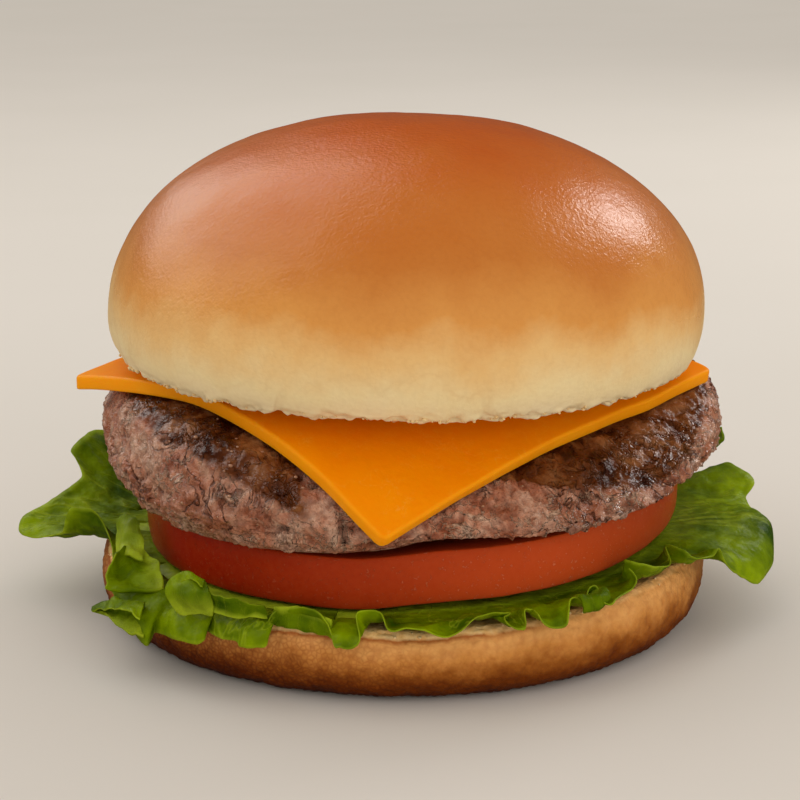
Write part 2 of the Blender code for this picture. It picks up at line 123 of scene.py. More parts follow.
# The leaf's edge, clockwise from the right: azimuth in degrees (0 is right, -90 is the front),
# reach and height in millimetres. Arches stand up, lobes hang over the heel's rim.
FRILL = [
    # the big lobe on the right
    (30, 63, 17), (24, 63.5, 17), (20, 65, 17.5), (18, 66.5, 20), (17, 68, 21.5), (15, 69.5, 21),
    (13, 71, 20), (11, 71, 18.5), (9, 68.5, 17), (6, 68.5, 16), (2, 70, 15),
    (-2, 70.5, 14), (-7, 70.5, 12.5), (-12, 70, 10.5), (-17, 68, 9), (-20, 66, 12),
    (-26, 64.5, 16), (-28, 64, 19), (-30, 63.5, 18), (-34, 62, 19), (-35, 60.5, 20.5),
    # the ruffles of the right front
    (-33.5, 56, 20.5), (-36, 58.5, 18.5), (-40, 59.5, 19), (-45, 59.5, 20.5), (-46.5, 58, 21),
    (-47, 56, 21), (-46.5, 58, 19), (-47, 59, 18), (-49.5, 60, 17), (-53, 61, 17),
    (-55.5, 62, 16.5), (-56.5, 61, 17), (-56, 59.5, 17.5), (-55.5, 58, 18.5), (-57, 58, 18.5),
    (-58.5, 59.5, 17.5), (-58, 61, 16), (-59.5, 60, 17), (-60, 58.5, 17.5), (-61.5, 59, 17.5),
    (-63, 61, 16), (-64, 62, 14.5), (-66, 62, 14.5), (-67.5, 61, 15), (-68, 59.5, 16.5),
    (-68, 57.5, 16.5), (-69.5, 58, 16.5), (-70.5, 61, 15), (-71.5, 62, 14.5), (-73, 61, 15),
    # the front
    (-73.5, 59, 16), (-72, 57.5, 16.5), (-74.5, 57.5, 16.5), (-78, 58.5, 16.5), (-81, 61, 15.5),
    (-84, 62, 15), (-87, 61, 15.5), (-89.5, 60, 15.5), (-92.5, 60, 15), (-94, 57, 17),
    (-96, 57, 17.5), (-98, 58, 17), (-97, 61.5, 14), (-98, 62, 12.5), (-100, 62, 12.5),
    (-101, 61.5, 12.5), (-102, 59.5, 14), (-103, 58, 15.5), (-105, 57, 17),
    (-107.5, 56.5, 17), (-111, 56.5, 16.5), (-113, 57.5, 15.5), (-113, 59.5, 13.5),
    (-112, 62, 11.5), (-114, 62, 11), (-116.5, 62, 11), (-117.5, 61.5, 11.5),
    # the left front
    (-120.5, 61, 11), (-123, 60.5, 11), (-124.5, 60, 11), (-123.5, 62, 10), (-124.5, 63, 9),
    (-127.5, 63, 9), (-132, 62, 9), (-135, 61.5, 8.5), (-135, 62.5, 7.5), (-134.5, 64, 7),
    (-137, 64, 8), (-140, 63.5, 9), (-143.5, 63, 10.5), (-146, 62, 11.5), (-149, 61.5, 12.5),
    (-151, 60.5, 13.5), (-154, 59, 14.5), (-157, 58, 15), (-161, 57, 15.5), (-163, 57, 17),
    # the long arm on the left, and the lobe above it
    (-166, 58, 19.5), (-168, 60, 21.5), (-169, 62, 21.5), (-169.5, 63.5, 21), (-170.5, 64.5, 19),
    (-171.5, 65, 17), (-172.5, 65.5, 15.5), (-174.5, 67, 14.5), (-176.5, 68.5, 13.5), (-178.5, 70.5, 12.5),
    (-180, 74, 12.5), (-182, 75, 13), (-183, 74.5, 14.5), (-185, 73, 15), (-187, 70.5, 16),
    (-190, 68, 17.5), (-193, 66, 19.5), (-195, 67, 21), (-196, 68.5, 22.5), (-197, 70, 24),
    (-200, 69, 26), (-202, 68.5, 26.5), (-205, 67, 26), (-207, 66, 24.5), (-211, 62, 20),
]
# One fold of the hidden back: share of the way round, reach and height in millimetres
BACK_FOLD = ((0.0, 59.5, 18.0), (0.22, 60.0, 17.6), (0.32, 61.0, 15.5), (0.36, 62.5, 13.0),
             (0.46, 63.2, 11.8), (0.62, 63.2, 11.9), (0.70, 62.3, 13.4), (0.76, 60.8, 16.0))
BACK_FOLDS = 7
# Lobes that stand free of the big leaf, each a small net of the same measures, base row first
LOBES = {
    "curled": (
        ((-147, 66, 10), (-142.5, 65.5, 10), (-138, 65.5, 9.5), (-134.5, 64.5, 9)),
        ((-147, 66, 10), (-144, 65, 10.5), (-140, 64, 11), (-137.5, 62, 11)),
        ((-147, 66, 10.5), (-144, 64.5, 12.5), (-140, 64, 14), (-136.5, 62.5, 14)),
        ((-146, 66.5, 10.5), (-141, 66.5, 12.5), (-135.5, 67, 14), (-133, 67, 13)),
    ),
    "dark_fold": (
        ((-149.5, 56, 19.5), (-143.5, 54.5, 18), (-138.5, 57, 15)),
        ((-148.5, 59, 20), (-146.5, 58.5, 17), (-141, 62, 14.5)),
        ((-146.5, 62, 20), (-145, 64, 17.5), (-143.5, 65.5, 15)),
    ),
    "rib": (
        ((-150, 60, 17), (-147, 59, 19), (-144.5, 57, 18.5)),
        ((-155.5, 57.5, 19.5), (-150.5, 57, 21), (-149.5, 55, 20.5)),
        ((-159, 56.5, 22), (-156.5, 55, 23.5), (-153.5, 54, 23)),
    ),
    "round": (
        ((-128.5, 62, 14), (-124.5, 62.5, 15), (-122, 61.5, 15.5)),
        ((-131, 62.5, 17.5), (-126, 63, 18.5), (-122, 62.5, 19)),
        ((-131, 61, 19.5), (-128, 61, 21.5), (-124.5, 60.5, 20.5)),
        ((-129, 62, 20), (-126.5, 62, 21), (-123.5, 62.5, 20.5)),
    ),
    "ribbon": (
        ((-122, 61.5, 16), (-118.5, 61.5, 15.5), (-114, 58, 15)),
        ((-123, 62, 19.5), (-118.5, 61.5, 19), (-114, 58.5, 17.5)),
    ),
    "hem": (
        ((-113, 57, 17), (-107.5, 56, 16.5), (-102.5, 57.5, 16)),
        ((-113.5, 57, 15), (-107.5, 56.5, 14.5), (-102, 58, 14)),
        ((-113.5, 57, 13.5), (-107.5, 56.5, 13), (-101.5, 58, 13)),
    ),
    "curl": (
        ((-54, 57, 17.5), (-57, 57.5, 17), (-60, 57, 17)),
        ((-54.5, 59, 18.5), (-57, 60, 18), (-60, 59, 18)),
        ((-55, 60.5, 17.5), (-57.5, 61.5, 16.5), (-60, 60.5, 16.5)),
        ((-55.5, 59.5, 16), (-57.5, 60, 15.5), (-59.5, 59.5, 15.5)),
    ),
    "sliver": (
        ((24, 62, 18), (28, 62, 18)),
        ((20.5, 68, 24), (27, 68, 24)),
        ((22, 70, 27), (26, 70.5, 25)),
    ),
}

# Fineness of the pieces
CROWN_STEPS = 520
HEEL_STEPS = 840
TOMATO_STEPS = 260
PATTY_STEPS = 880
CHEESE_CELLS = 110
LEAF_COLUMNS = 1250
LEAF_ROWS = 28
LEAF_INNER_ROWS = 3
LOBE_COLUMNS = 40
LOBE_ROWS = 30

CRUMB_SEED = 5
CROWN_CRUMBS = 240
HEEL_CRUMBS = 60
CRUMB_SIZE = (0.00012, 0.00042)
BEAD_SEED = 11
BEAD_COUNT = 420
BEAD_SIZE = (0.00012, 0.00026)

# Relief of the minced meat: pattern, size, depth and middle level
MINCE = (
    ("mince_lumps", "VORONOI", 0.0048, -0.0008, 0.15),
    ("mince_strands", "VORONOI", 0.0025, -0.0008, 0.15),
    ("mince_tears", "CLOUDS", 0.0026, -0.0007, 0.55),
    ("mince_grains", "VORONOI", 0.0013, -0.0008, 0.15),
    ("mince_grit", "CLOUDS", 0.0008, 0.0006, 0.5),
)
CLOUD_LAYERS = {"mince_tears": 4, "mince_grit": 2, "crust_hollows": 2, "crumb_pores": 3}

# ---------------------------------------------------------------- the camera and the light

CAMERA_PLACE = (-0.0008, -0.400, 0.142)
CAMERA_DIP = math.radians(14.4)
CAMERA_LENS = 97.65
FLOOR_COLOUR = (0.69, 0.645, 0.585, 1.0)
FLOOR_PALE = (0.72, 0.67, 0.615, 1.0)
ROOM_COLOUR = (1.0, 0.97, 0.92, 1.0)
FLOOR_SIDE = 9.0
LIGHT_COLOUR = (1.0, 0.98, 0.96)
LIGHT_AIM = 0.06             # height that every light looks at
# name, azimuth, elevation, distance, size, radiance, colour, and what doesn't see it
LIGHTS = (
    ("left_softbox", -115, 48, 0.75, (0.95, 0.80), 0.45, (1.0, 0.98, 0.95), None),
    ("left_sheen", -122, 43, 0.75, (1.0, 0.80), 3.0, (1.0, 0.98, 0.95), "visible_diffuse"),
    ("right_softbox", 137, 26, 0.9, (0.40, 0.46), 2.6, LIGHT_COLOUR, "visible_glossy"),
    ("right_sheen", 132, 32, 0.9, (0.22, 0.24), 20.0, LIGHT_COLOUR, "visible_diffuse"),
    ("front_fill", 28, 14, 1.5, (1.6, 1.2), 0.9, LIGHT_COLOUR, "visible_glossy"),
)
ROOM_LIGHT = 0.78
ROOM_REFLECTION = 0.08


# ================================================================ modelling helpers

def deselect_all():
    if bpy.context.mode != "OBJECT":
        bpy.ops.object.mode_set(mode="OBJECT")
    bpy.ops.object.select_all(action="DESELECT")


def pick(piece):
    """Makes the piece the only selected object and the active one."""
    deselect_all()
    piece.select_set(True)
    bpy.context.view_layer.objects.active = piece


def newest(name):
    """The object that an operator has just added, under its own name."""
    piece = bpy.context.view_layer.objects.active
    piece.name = name
    piece.data.name = name
    return piece


def texture(name, kind, size):
    """A solid texture for relief, its features size metres apart."""
    pattern = bpy.data.textures.new(name, kind)
    pattern.noise_scale = size
    if kind == "VORONOI":
        pattern.distance_metric = "DISTANCE_SQUARED"
    else:
        pattern.noise_depth = CLOUD_LAYERS[name]
    if name == "mince_tears":
        pattern.noise_type = "HARD_NOISE"
    return pattern


def emboss(piece, pattern, depth, middle=0.5, group=""):
    """Raises the surface where the texture is above middle, and sinks it where it is below."""
    push = piece.modifiers.new(pattern.name, "DISPLACE")
    push.texture = pattern
    push.texture_coords = "LOCAL"
    push.strength = depth
    push.mid_level = middle
    push.vertex_group = group


def mask(piece, name, weight):
    """A vertex group whose weights come from weight(point, normal)."""
    group = piece.vertex_groups.new(name=name)
    for vertex in piece.data.vertices:
        group.add([vertex.index], weight(vertex.co, vertex.normal), "REPLACE")


def keep_numbers(piece, name, numbers):
    """Stores one number on each vertex for the finish to read."""
    stored = piece.data.attributes.new(name, "FLOAT", "POINT")
    stored.data.foreach_set("value", numbers)


def apply_modifiers(piece):
    pick(piece)
    for modifier in list(piece.modifiers):
        bpy.ops.object.modifier_apply(modifier=modifier.name)


def add_object(name, data):
    piece = bpy.data.objects.new(name, data)
    bpy.context.scene.collection.objects.link(piece)
    return piece


def grid(name, columns, rows, size=1.0):
    """A flat grid around the origin, its columns along X."""
    deselect_all()
    bpy.ops.mesh.primitive_grid_add(x_subdivisions=columns, y_subdivisions=rows, size=size, calc_uvs=True)
    return newest(name)


def small_ball(name):
    deselect_all()
    bpy.ops.mesh.primitive_ico_sphere_add(subdivisions=1, radius=1.0)
    return newest(name)


def join(pieces):
    """Makes one object of several, the first one's."""
    deselect_all()
    for piece in pieces:
        piece.select_set(True)
    bpy.context.view_layer.objects.active = pieces[0]
    bpy.ops.object.join()
    return pieces[0]


def edit_all(piece):
    """Edit mode with every vertex selected."""
    pick(piece)
    bpy.ops.object.mode_set(mode="EDIT")
    bpy.ops.mesh.select_all(action="SELECT")


def close_edit():
    """Turns every face outwards and leaves edit mode."""
    bpy.ops.mesh.normals_make_consistent(inside=False)
    bpy.ops.object.mode_set(mode="OBJECT")


def turned(name, profile, steps):
    """A closed body spun about Z from a profile of (radius, height), bottom to top."""
    mesh = bpy.data.meshes.new(name)
    mesh.from_pydata([(radius, 0, height) for radius, height in profile],
                     [(i, i + 1) for i in range(len(profile) - 1)], [])
    piece = add_object(name, mesh)
    edit_all(piece)
    bpy.ops.mesh.spin(steps=steps, angle=2 * math.pi, center=(0, 0, 0), axis=(0, 0, 1))
    bpy.ops.mesh.select_all(action="SELECT")
    bpy.ops.mesh.remove_doubles(threshold=0.00002)
    close_edit()
    return piece


def reshape(piece, place):
    """Moves every vertex to where place() puts it."""
    for vertex in piece.data.vertices:
        vertex.co = place(vertex.co)
    piece.data.update()


def relieve(piece, height):
    """Raises or sinks the surface along its normals by height(point, normal)."""
    mesh = piece.data
    moves = [vertex.normal * height(vertex.co, vertex.normal) for vertex in mesh.vertices]
    for vertex, move in zip(mesh.vertices, moves):
        vertex.co += move
    mesh.update()


def finish_piece(piece, node, slot, *materials):
    """Smooth shading, the finish, and the node that the piece stands for."""
    piece.data.materials.clear()
    for material in materials:
        piece.data.materials.append(material)
    pick(piece)
    bpy.ops.object.shade_smooth()
    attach(piece, "root")
    if node:
        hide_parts(node)
    return piece


def close_seams(piece):
    """Merges the rows that meet, and turns every face outwards."""
    edit_all(piece)
    bpy.ops.mesh.remove_doubles(threshold=0.000005)
    close_edit()


def arc(centre, radii, start, end, steps):
    """Points (radius, height) on an elliptic arc, angles in degrees."""
    points = []
    for i in range(steps + 1):
        angle = math.radians(start + (end - start) * i / steps)
        points.append((centre[0] + radii[0] * math.cos(angle), centre[1] + radii[1] * math.sin(angle)))
    return points


def smooth_step(low, high, value):
    """0 at low, 1 at high, and a soft way between them."""
    share = min(max((value - low) / (high - low), 0.0), 1.0)
    return share * share * (3.0 - 2.0 * share)


def lobed(angle, lobes):
    """Share of its radius that an uneven round has in a direction."""
    return 1 + sum(size * math.sin(count * angle + phase) for count, size, phase in lobes)


def azimuth(point):
    return math.atan2(point.y, point.x)


def lumps(point, size, seed):
    """Soft noise between about -1 and 1, with lumps of the given size."""
    return noise.noise(Vector(point) / size + Vector((seed, 2.7 * seed, -1.3 * seed)))


# ================================================================ where the layers meet

def rim_lift(x, y, lift):
    """The layers dish: they lie higher at the front and the sides than in the middle."""
    front = max(0.0, -y) / HEEL_RADIUS
    side = (SIDE_LIFT[0] if x < 0 else SIDE_LIFT[1]) * x / HEEL_RADIUS
    return lift * (front * front + side * side)


def heel_top(x, y):
    return HEEL_HEIGHT + rim_lift(x, y, HEEL_LIFT)


def tomato_bottom(x, y):
    raised = smooth_step(-0.010, 0.008, x) * smooth_step(0.020, 0.045, math.hypot(x, y))
    return HEEL_HEIGHT + LEAF_SPACE + rim_lift(x, y, TOMATO_LIFT) + TOMATO_RAISE * raised


def tomato_top(x, y):
    return tomato_bottom(x, y) + TOMATO_THICKNESS


def patty_bottom(x, y):
    return tomato_top(x, y) + CLEARANCE


def fall_start(along):
    return FALL_START - FALL_BOW * along * along


def front_fall(x, y):
    """How far the patty's top has fallen at a point."""
    ahead = x * math.sin(FALL_TURN) - y * math.cos(FALL_TURN)
    along = x * math.cos(FALL_TURN) + y * math.sin(FALL_TURN)
    past = max(ahead - fall_start(along), 0.0)
    arc_part = min(past, FALL_RADIUS * math.sin(FALL_STEEPEST))
    fall = FALL_RADIUS - math.sqrt(FALL_RADIUS ** 2 - arc_part ** 2)
    return fall + (past - arc_part) * math.tan(FALL_STEEPEST)


def side_fall(x, y):
    left = max(-x - LEFT_FALL[0], 0.0)
    back = max(y - BACK_FALL[0], 0.0)
    return LEFT_FALL[1] * left * left + BACK_FALL[1] * back * back


def right_curl(x, y):
    """The right-hand end stands up a little beyond the crown."""
    return RIGHT_CURL * smooth_step(0.044, 0.057, x) * smooth_step(0.020, 0.0, y)


def patty_top(x, y):
    level = tomato_top(0, 0) + CLEARANCE + PATTY_THICKNESS + PATTY_TILT * x + right_curl(x, y)
    return level - front_fall(x, y) - side_fall(x, y)


def crown_bottom(x, y):
    touch = CROWN_CUT_RADIUS
    nearest = patty_top(touch, 0.03) + CHEESE_THICKNESS + CHEESE_SAG + 2 * CLEARANCE
    return nearest + CROWN_TILT * (x - touch)


# ================================================================ the bread

def make_crown():
    """The domed top: smooth glazed crust, creased and torn along its cut edge."""
    power = 2 / CROWN_FULLNESS
    flare = (CROWN_RADIUS - CROWN_CUT_RADIUS, CROWN_BELLY - CROWN_LIP)
    cut = [(CROWN_CUT_RADIUS * share, 0) for share in (0, 0.3, 0.6, 0.8, 0.9, 0.95)]
    lip = [(CROWN_CUT_RADIUS - CROWN_LIP * 0.3, CROWN_LIP * 0.3)]
    side = arc((CROWN_CUT_RADIUS, CROWN_BELLY), flare, -90, 0, 26)[:-1]
    dome = []
    for share_x, share_z in arc((0, 0), (1, 1), 0, 90, 84):
        dome.append((CROWN_RADIUS * max(share_x, 0) ** power, CROWN_BELLY + CROWN_DOME * share_z ** power))
    crown = turned("crown_bun", cut + [(CROWN_CUT_RADIUS - CROWN_LIP, 0)] + lip + side + dome, CROWN_STEPS)

    def place(point):
        share = min(point.z / CROWN_HEIGHT, 1.0)
        angle = azimuth(point)
        swell = lobed(angle, CROWN_LOBES)
        slump = CROWN_SLUMP * max(0.0, -math.cos(angle)) * math.sin(math.pi * share ** 1.3)
        x, y = point.x * (swell - slump), point.y * swell
        tall, size = CROWN_WAVE
        wave = tall * lumps(point, size, 3.0) * smooth_step(0.0, tall, point.z)
        base = crown_bottom(0, 0)
        rise = (crown_bottom(x, y) - base) * (1 - smooth_step(0.0, 1.0, share))
        return Vector((x, y, base + rise + point.z)) + point.normalized() * wave

    reshape(crown, place)

    def skin(point, normal):
        above = point.z - crown_bottom(point.x, point.y)
        edge = 1 - smooth_step(0.0002, 0.0026, above)
        creased = (1 - smooth_step(0.002, 0.012, above)) * smooth_step(-0.2, 0.5, lumps(point, 0.018, 5.0))
        angle = azimuth(point)
        crease = lumps((angle * CROWN_RADIUS, 0, above * 0.35), 0.0021, 8.0)
        torn = 0.0008 * lumps(point, 0.0026, 2.0) + 0.0007 * lumps(point, 0.0012, 6.0)
        soft = 0.00010 * lumps(point, 0.0060, 12.0) + 0.00003 * lumps(point, 0.0022, 15.0)
        outer = smooth_step(0.6, 0.9, math.hypot(point.x, point.y) / CROWN_CUT_RADIUS)
        return edge * outer * torn + creased * 0.00016 * min(crease, 0.0) * outer + soft

    relieve(crown, skin)
    return crown


def make_heel():
    """The bottom half: a pored crust over a flat base, a pale crumb face on top."""
    belly = (HEEL_BASE_RADIUS, HEEL_BELLY)
    side = arc(belly, (HEEL_RADIUS - HEEL_BASE_RADIUS, HEEL_BELLY), -90, 0, 30)
    upper = (HEEL_RADIUS - HEEL_CUT_RADIUS, HEEL_HEIGHT - HEEL_BELLY)
    rim = arc((HEEL_CUT_RADIUS, HEEL_BELLY), upper, 0, 90, 18)[1:]
    base = [(HEEL_BASE_RADIUS * share, 0) for share in (0, 0.4, 0.7, 0.9)]
    cut = [(HEEL_CUT_RADIUS * share, HEEL_HEIGHT)
           for share in (0.985, 0.97, 0.95, 0.92, 0.88, 0.8, 0.6, 0.3, 0)]
    heel = turned("heel_bun", base + side + rim + cut, HEEL_STEPS)

    def place(point):
        share = smooth_step(0.0, HEEL_HEIGHT, point.z)
        swell = lobed(azimuth(point), HEEL_LOBES)
        rise = (heel_top(point.x, point.y) - HEEL_HEIGHT) * share
        return Vector((point.x * swell, point.y * swell, point.z + rise))

    rise = [vertex.co.z for vertex in heel.data.vertices]
    reshape(heel, place)
    keep_numbers(heel, "rise", rise)

    mask(heel, "crust", lambda point, normal: 0.0 if abs(normal.z) > 0.95 else 1.0)
    mask(heel, "crumb", lambda point, normal: smooth_step(0.75, 0.97, normal.z))
    emboss(heel, texture("crust_blisters", "VORONOI", 0.0013), -0.00045, 0.3, "crust")
    emboss(heel, texture("crust_hollows", "CLOUDS", 0.0050), 0.00070, 0.5, "crust")
    emboss(heel, texture("crumb_pores", "CLOUDS", 0.0012), 0.00050, 0.6, "crumb")
    apply_modifiers(heel)
    return heel


# ================================================================ tomato, meat and cheese

def make_tomato():
    """A thick slice: taut skin round the side, wet cut flesh above and below."""
    half = TOMATO_THICKNESS / 2
    skin = arc((TOMATO_RIM_RADIUS, half), (TOMATO_RADIUS - TOMATO_RIM_RADIUS, half), -90, 90, 26)
    below = [(TOMATO_RIM_RADIUS * share, 0) for share in (0, 0.4, 0.7, 0.9, 0.97)]
    above = [(radius, TOMATO_THICKNESS) for radius, _ in reversed(below)]
    tomato = turned("tomato_slice", below + skin + above, TOMATO_STEPS)

    def place(point):
        swell = lobed(azimuth(point), TOMATO_LOBES)
        x = point.x * swell + TOMATO_CENTRE[0]
        y = point.y * swell + TOMATO_CENTRE[1]
        return Vector((x, y, tomato_bottom(x, y) + point.z))

    def uneven(point, normal):
        return 0.00012 * lumps(point, 0.0060, 1.0) + 0.00003 * lumps(point, 0.0015, 3.0)

    reshape(tomato, place)
    relieve(tomato, uneven)
    return tomato


def patty_rows():
    """The rows of the patty from the middle of its underside up and round to its top."""
    rows = [("flat", share) for share in (0.0, 0.4, 0.7, 0.88, 0.96)]
    rows += [("under", i / 50) for i in range(51)]
    rows += [("shoulder", i / 22) for i in range(1, 23)]
    rows += [("top", share) for share in (0.985, 0.97, 0.955, 0.94, 0.92, 0.9, 0.88, 0.86, 0.84, 0.82, 0.8,
                                          0.78, 0.76, 0.74, 0.72, 0.7, 0.67, 0.63, 0.55, 0.4, 0.0)]
    return rows


def lift_share(angle):
    """How much of the underside's lift a direction has."""
    return max(math.cos(angle - UPLIFT_TURN), 0.0) ** 4


def patty_point(row, angle):
    """Radius, share of the height and looseness of one row of the patty in a direction."""
    kind, share = row
    turn = math.radians(90 * share)
    lifted = lift_share(angle)
    sagging = max(math.cos(angle - DROOP_TURN), 0.0) ** 3 + 0.8 * max(math.cos(angle), 0.0) ** 6
    edge = PATTY_RADIUS * lobed(angle, PATTY_LOBES) * (1 - UPLIFT_NARROW * lifted)
    flat = PATTY_FLAT + PATTY_LIFTED[0] * lifted + PATTY_SAGGED[0] * sagging
    belly = PATTY_BELLY + PATTY_LIFTED[1] * lifted + PATTY_SAGGED[1] * sagging
    if kind == "flat":
        return flat * share, 0.0, 0.0
    if kind == "under":
        radius = flat + (edge - flat) * math.sin(turn)
        return radius, belly * (1 - math.cos(turn)), smooth_step(0.0, 0.25, share)
    if kind == "shoulder":
        radius = edge - PATTY_SHOULDER * (1 - math.cos(turn))
        height = belly + (1 - belly) * math.sin(turn)
        return radius, height, 1 - smooth_step(0.35, 0.95, share)
    return (edge - PATTY_SHOULDER) * share, 1.0, 0.0


def under_cheese(x, y):
    """1 well under the slice, 0 outside it."""
    cos, sin = math.cos(CHEESE_TURN), math.sin(CHEESE_TURN)
    dx, dy = x - CHEESE_CENTRE[0], y * 1.12 - CHEESE_CENTRE[1]
    inside = CHEESE_SIDE / 2 - max(abs(dx * cos + dy * sin), abs(dy * cos - dx * sin))
    return smooth_step(-0.002, 0.002, inside)


def make_patty():
    """Ground beef, coarse strands pressed together, crevices between them."""
    rows = patty_rows()
    last = len(rows) - 1
    patty = grid("beef_patty", PATTY_STEPS, last)

    def place(point):
        angle = 2 * math.pi * (round((point.x + 0.5) * PATTY_STEPS) % PATTY_STEPS) / PATTY_STEPS
        radius, height, loose = patty_point(rows[round((point.y + 0.5) * last)], angle)
        cos, sin = math.cos(angle), math.sin(angle)
        spot = Vector((radius * cos, radius * sin, height * PATTY_THICKNESS))
        bump = lumps(spot, COARSE_LUMPS, 4.0) + FINE_SHARE * lumps(spot, FINE_LUMPS, 9.0)
        x = spot.x + PATTY_CENTRE[0]
        y = spot.y + PATTY_CENTRE[1]
        out = smooth_step(0.7, 0.95, radius / PATTY_RADIUS)
        low = patty_bottom(x, y) + UPLIFT_HEIGHT * lift_share(angle) * out
        high = patty_top(x, y)
        swell = loose * PATTY_LUMP * bump
        dent = (1 - loose) * PATTY_LUMP * FINE_SHARE * abs(bump)
        z = low + (high - low) * height + math.copysign(dent, 0.5 - height)
        return Vector((x + cos * swell, y + sin * swell, z))

    reshape(patty, place)
    close_seams(patty)

    def loose(point, normal):
        if normal.z < -0.9:
            return 0.0
        return 1.0 - under_cheese(point.x, point.y) * smooth_step(0.2, 0.5, normal.z)

    def seared(point):
        """The pan browned the top, further down at the left than at the right."""
        if point.x < 0:
            line = SEAR_LEFT[0] + SEAR_LEFT[1] * abs(point.x) - SEAR_LEFT[2] * point.x ** 2
            return 0.7 * smooth_step(-0.002, 0.002, point.z - line) * smooth_step(-0.013, -0.019, point.x)
        angle = math.degrees(azimuth(point))
        reach = SEAR_RIGHT[0] + SEAR_RIGHT[1] * smooth_step(-72, -32, angle)
        return smooth_step(-0.002, 0.002, reach - math.hypot(point.x, point.y))

    mask(patty, "loose", loose)
    keep_numbers(patty, "seared", [seared(vertex.co) for vertex in patty.data.vertices])
    smooth = [vertex.co.copy() for vertex in patty.data.vertices]
    facing = [vertex.normal.copy() for vertex in patty.data.vertices]
    for name, kind, size, depth, middle in MINCE:
        emboss(patty, texture(name, kind, size), depth, middle, "loose")
    apply_modifiers(patty)
    sunk = [(before - vertex.co).dot(normal)
            for before, vertex, normal in zip(smooth, patty.data.vertices, facing)]
    keep_numbers(patty, "depth", [smooth_step(0.0004, 0.0010, depth) for depth in sunk])
    return patty


def drape(x, y, lift):
    """Where a point of the flat slice comes to lie, lift above its underside."""
    sin, cos = math.sin(FALL_TURN), math.cos(FALL_TURN)
    ahead = x * sin - y * cos
    along = x * cos + y * sin
    start = fall_start(along)
    run = max(ahead - start, 0.0)
    turn = min(run / FALL_RADIUS, FALL_STEEPEST)
    rest = run - FALL_RADIUS * turn
    lean = lift * math.sin(turn)
    ahead = min(ahead, start) + FALL_RADIUS * math.sin(turn) + rest * math.cos(turn)
    fall = FALL_RADIUS * (1 - math.cos(turn)) + rest * math.sin(turn)
    bent_x = along * cos + ahead * sin
    bent_y = along * sin - ahead * cos
    level = patty_top(0, 0) + PATTY_TILT * bent_x + right_curl(bent_x, bent_y) - side_fall(bent_x, bent_y)
    air = CLEARANCE + CHEESE_SAG / math.cos(turn)
    height = level + air - fall + lift * math.cos(turn)
    return Vector((bent_x + lean * sin, bent_y - lean * cos, height))


def round_corner(x, y):
    """Pulls the sharp corners of the flat square in to a small arc."""
    half = CHEESE_SIDE / 2
    inner = half - CHEESE_CORNER
    dx, dy = abs(x) - inner, abs(y) - inner
    if dx > 0 and dy > 0:
        shrink = max(dx, dy) / math.hypot(dx, dy)
        dx, dy = dx * shrink, dy * shrink
        x, y = math.copysign(inner + dx, x), math.copysign(inner + dy, y)
    return x, y


def make_cheese():
    """A soft square slice with rounded edges, draped over the patty."""
    cheese = grid("cheese_slice", CHEESE_CELLS, CHEESE_CELLS)

    def lay_flat(point):
        x, y = round_corner(point.x * CHEESE_SIDE, point.y * CHEESE_SIDE)
        return Vector((x, y, 0))

    reshape(cheese, lay_flat)
    edit_all(cheese)
    bpy.ops.mesh.extrude_region_move(TRANSFORM_OT_translate={"value": (0, 0, CHEESE_THICKNESS)})
    bpy.ops.mesh.select_all(action="SELECT")
    close_edit()
    rounding = cheese.modifiers.new("soft_edges", "BEVEL")
    rounding.limit_method = "ANGLE"
    rounding.angle_limit = math.radians(60)
    rounding.width = CHEESE_ROUNDING
    rounding.segments = 4
    apply_modifiers(cheese)

    def place(point):
        cos, sin = math.cos(CHEESE_TURN), math.sin(CHEESE_TURN)
        reach, length = CHEESE_WAVE
        wave_x = reach * lumps(point, length, 5.0)
        wave_y = reach * lumps(point, length, 6.0)
        edge = smooth_step(0.7, 1.0, max(abs(point.x), abs(point.y)) * 2 / CHEESE_SIDE)
        x, y = point.x + wave_x * edge, point.y + wave_y * edge
        flat_x = x * cos - y * sin + CHEESE_CENTRE[0]
        flat_y = x * sin + y * cos + CHEESE_CENTRE[1]
        return drape(flat_x, flat_y, point.z)

    def uneven(point, normal):
        return 0.00006 * lumps(point, 0.0045, 2.0) if normal.z > -0.2 else 0.0

    # where the painted highlight along the edge starts and ends
    start, end = (CHEESE_SIDE / 2 - inside for inside in CHEESE_HIGHLIGHT_STRIP)
    edge_highlight = [smooth_step(start, end, max(abs(v.co.x), abs(v.co.y))) for v in cheese.data.vertices]
    reshape(cheese, place)
    keep_numbers(cheese, "edge_highlight", edge_highlight)
    relieve(cheese, uneven)
    return cheese


# ================================================================ crumbs and grease

def strew(name, model, spots):
    """Copies of a small model, one at each (place, up, size), joined into one piece."""
    copies = []
    for place, up, size in spots:
        copy = add_object(name, model.data.copy())
        turn = up.to_track_quat("Z", "Y").to_matrix().to_4x4()
        copy.data.transform(Matrix.Translation(place) @ turn @ Matrix.Diagonal((*size, 1.0)))
        copies.append(copy)
    bpy.data.objects.remove(model)
    join(copies)
    return newest(name)


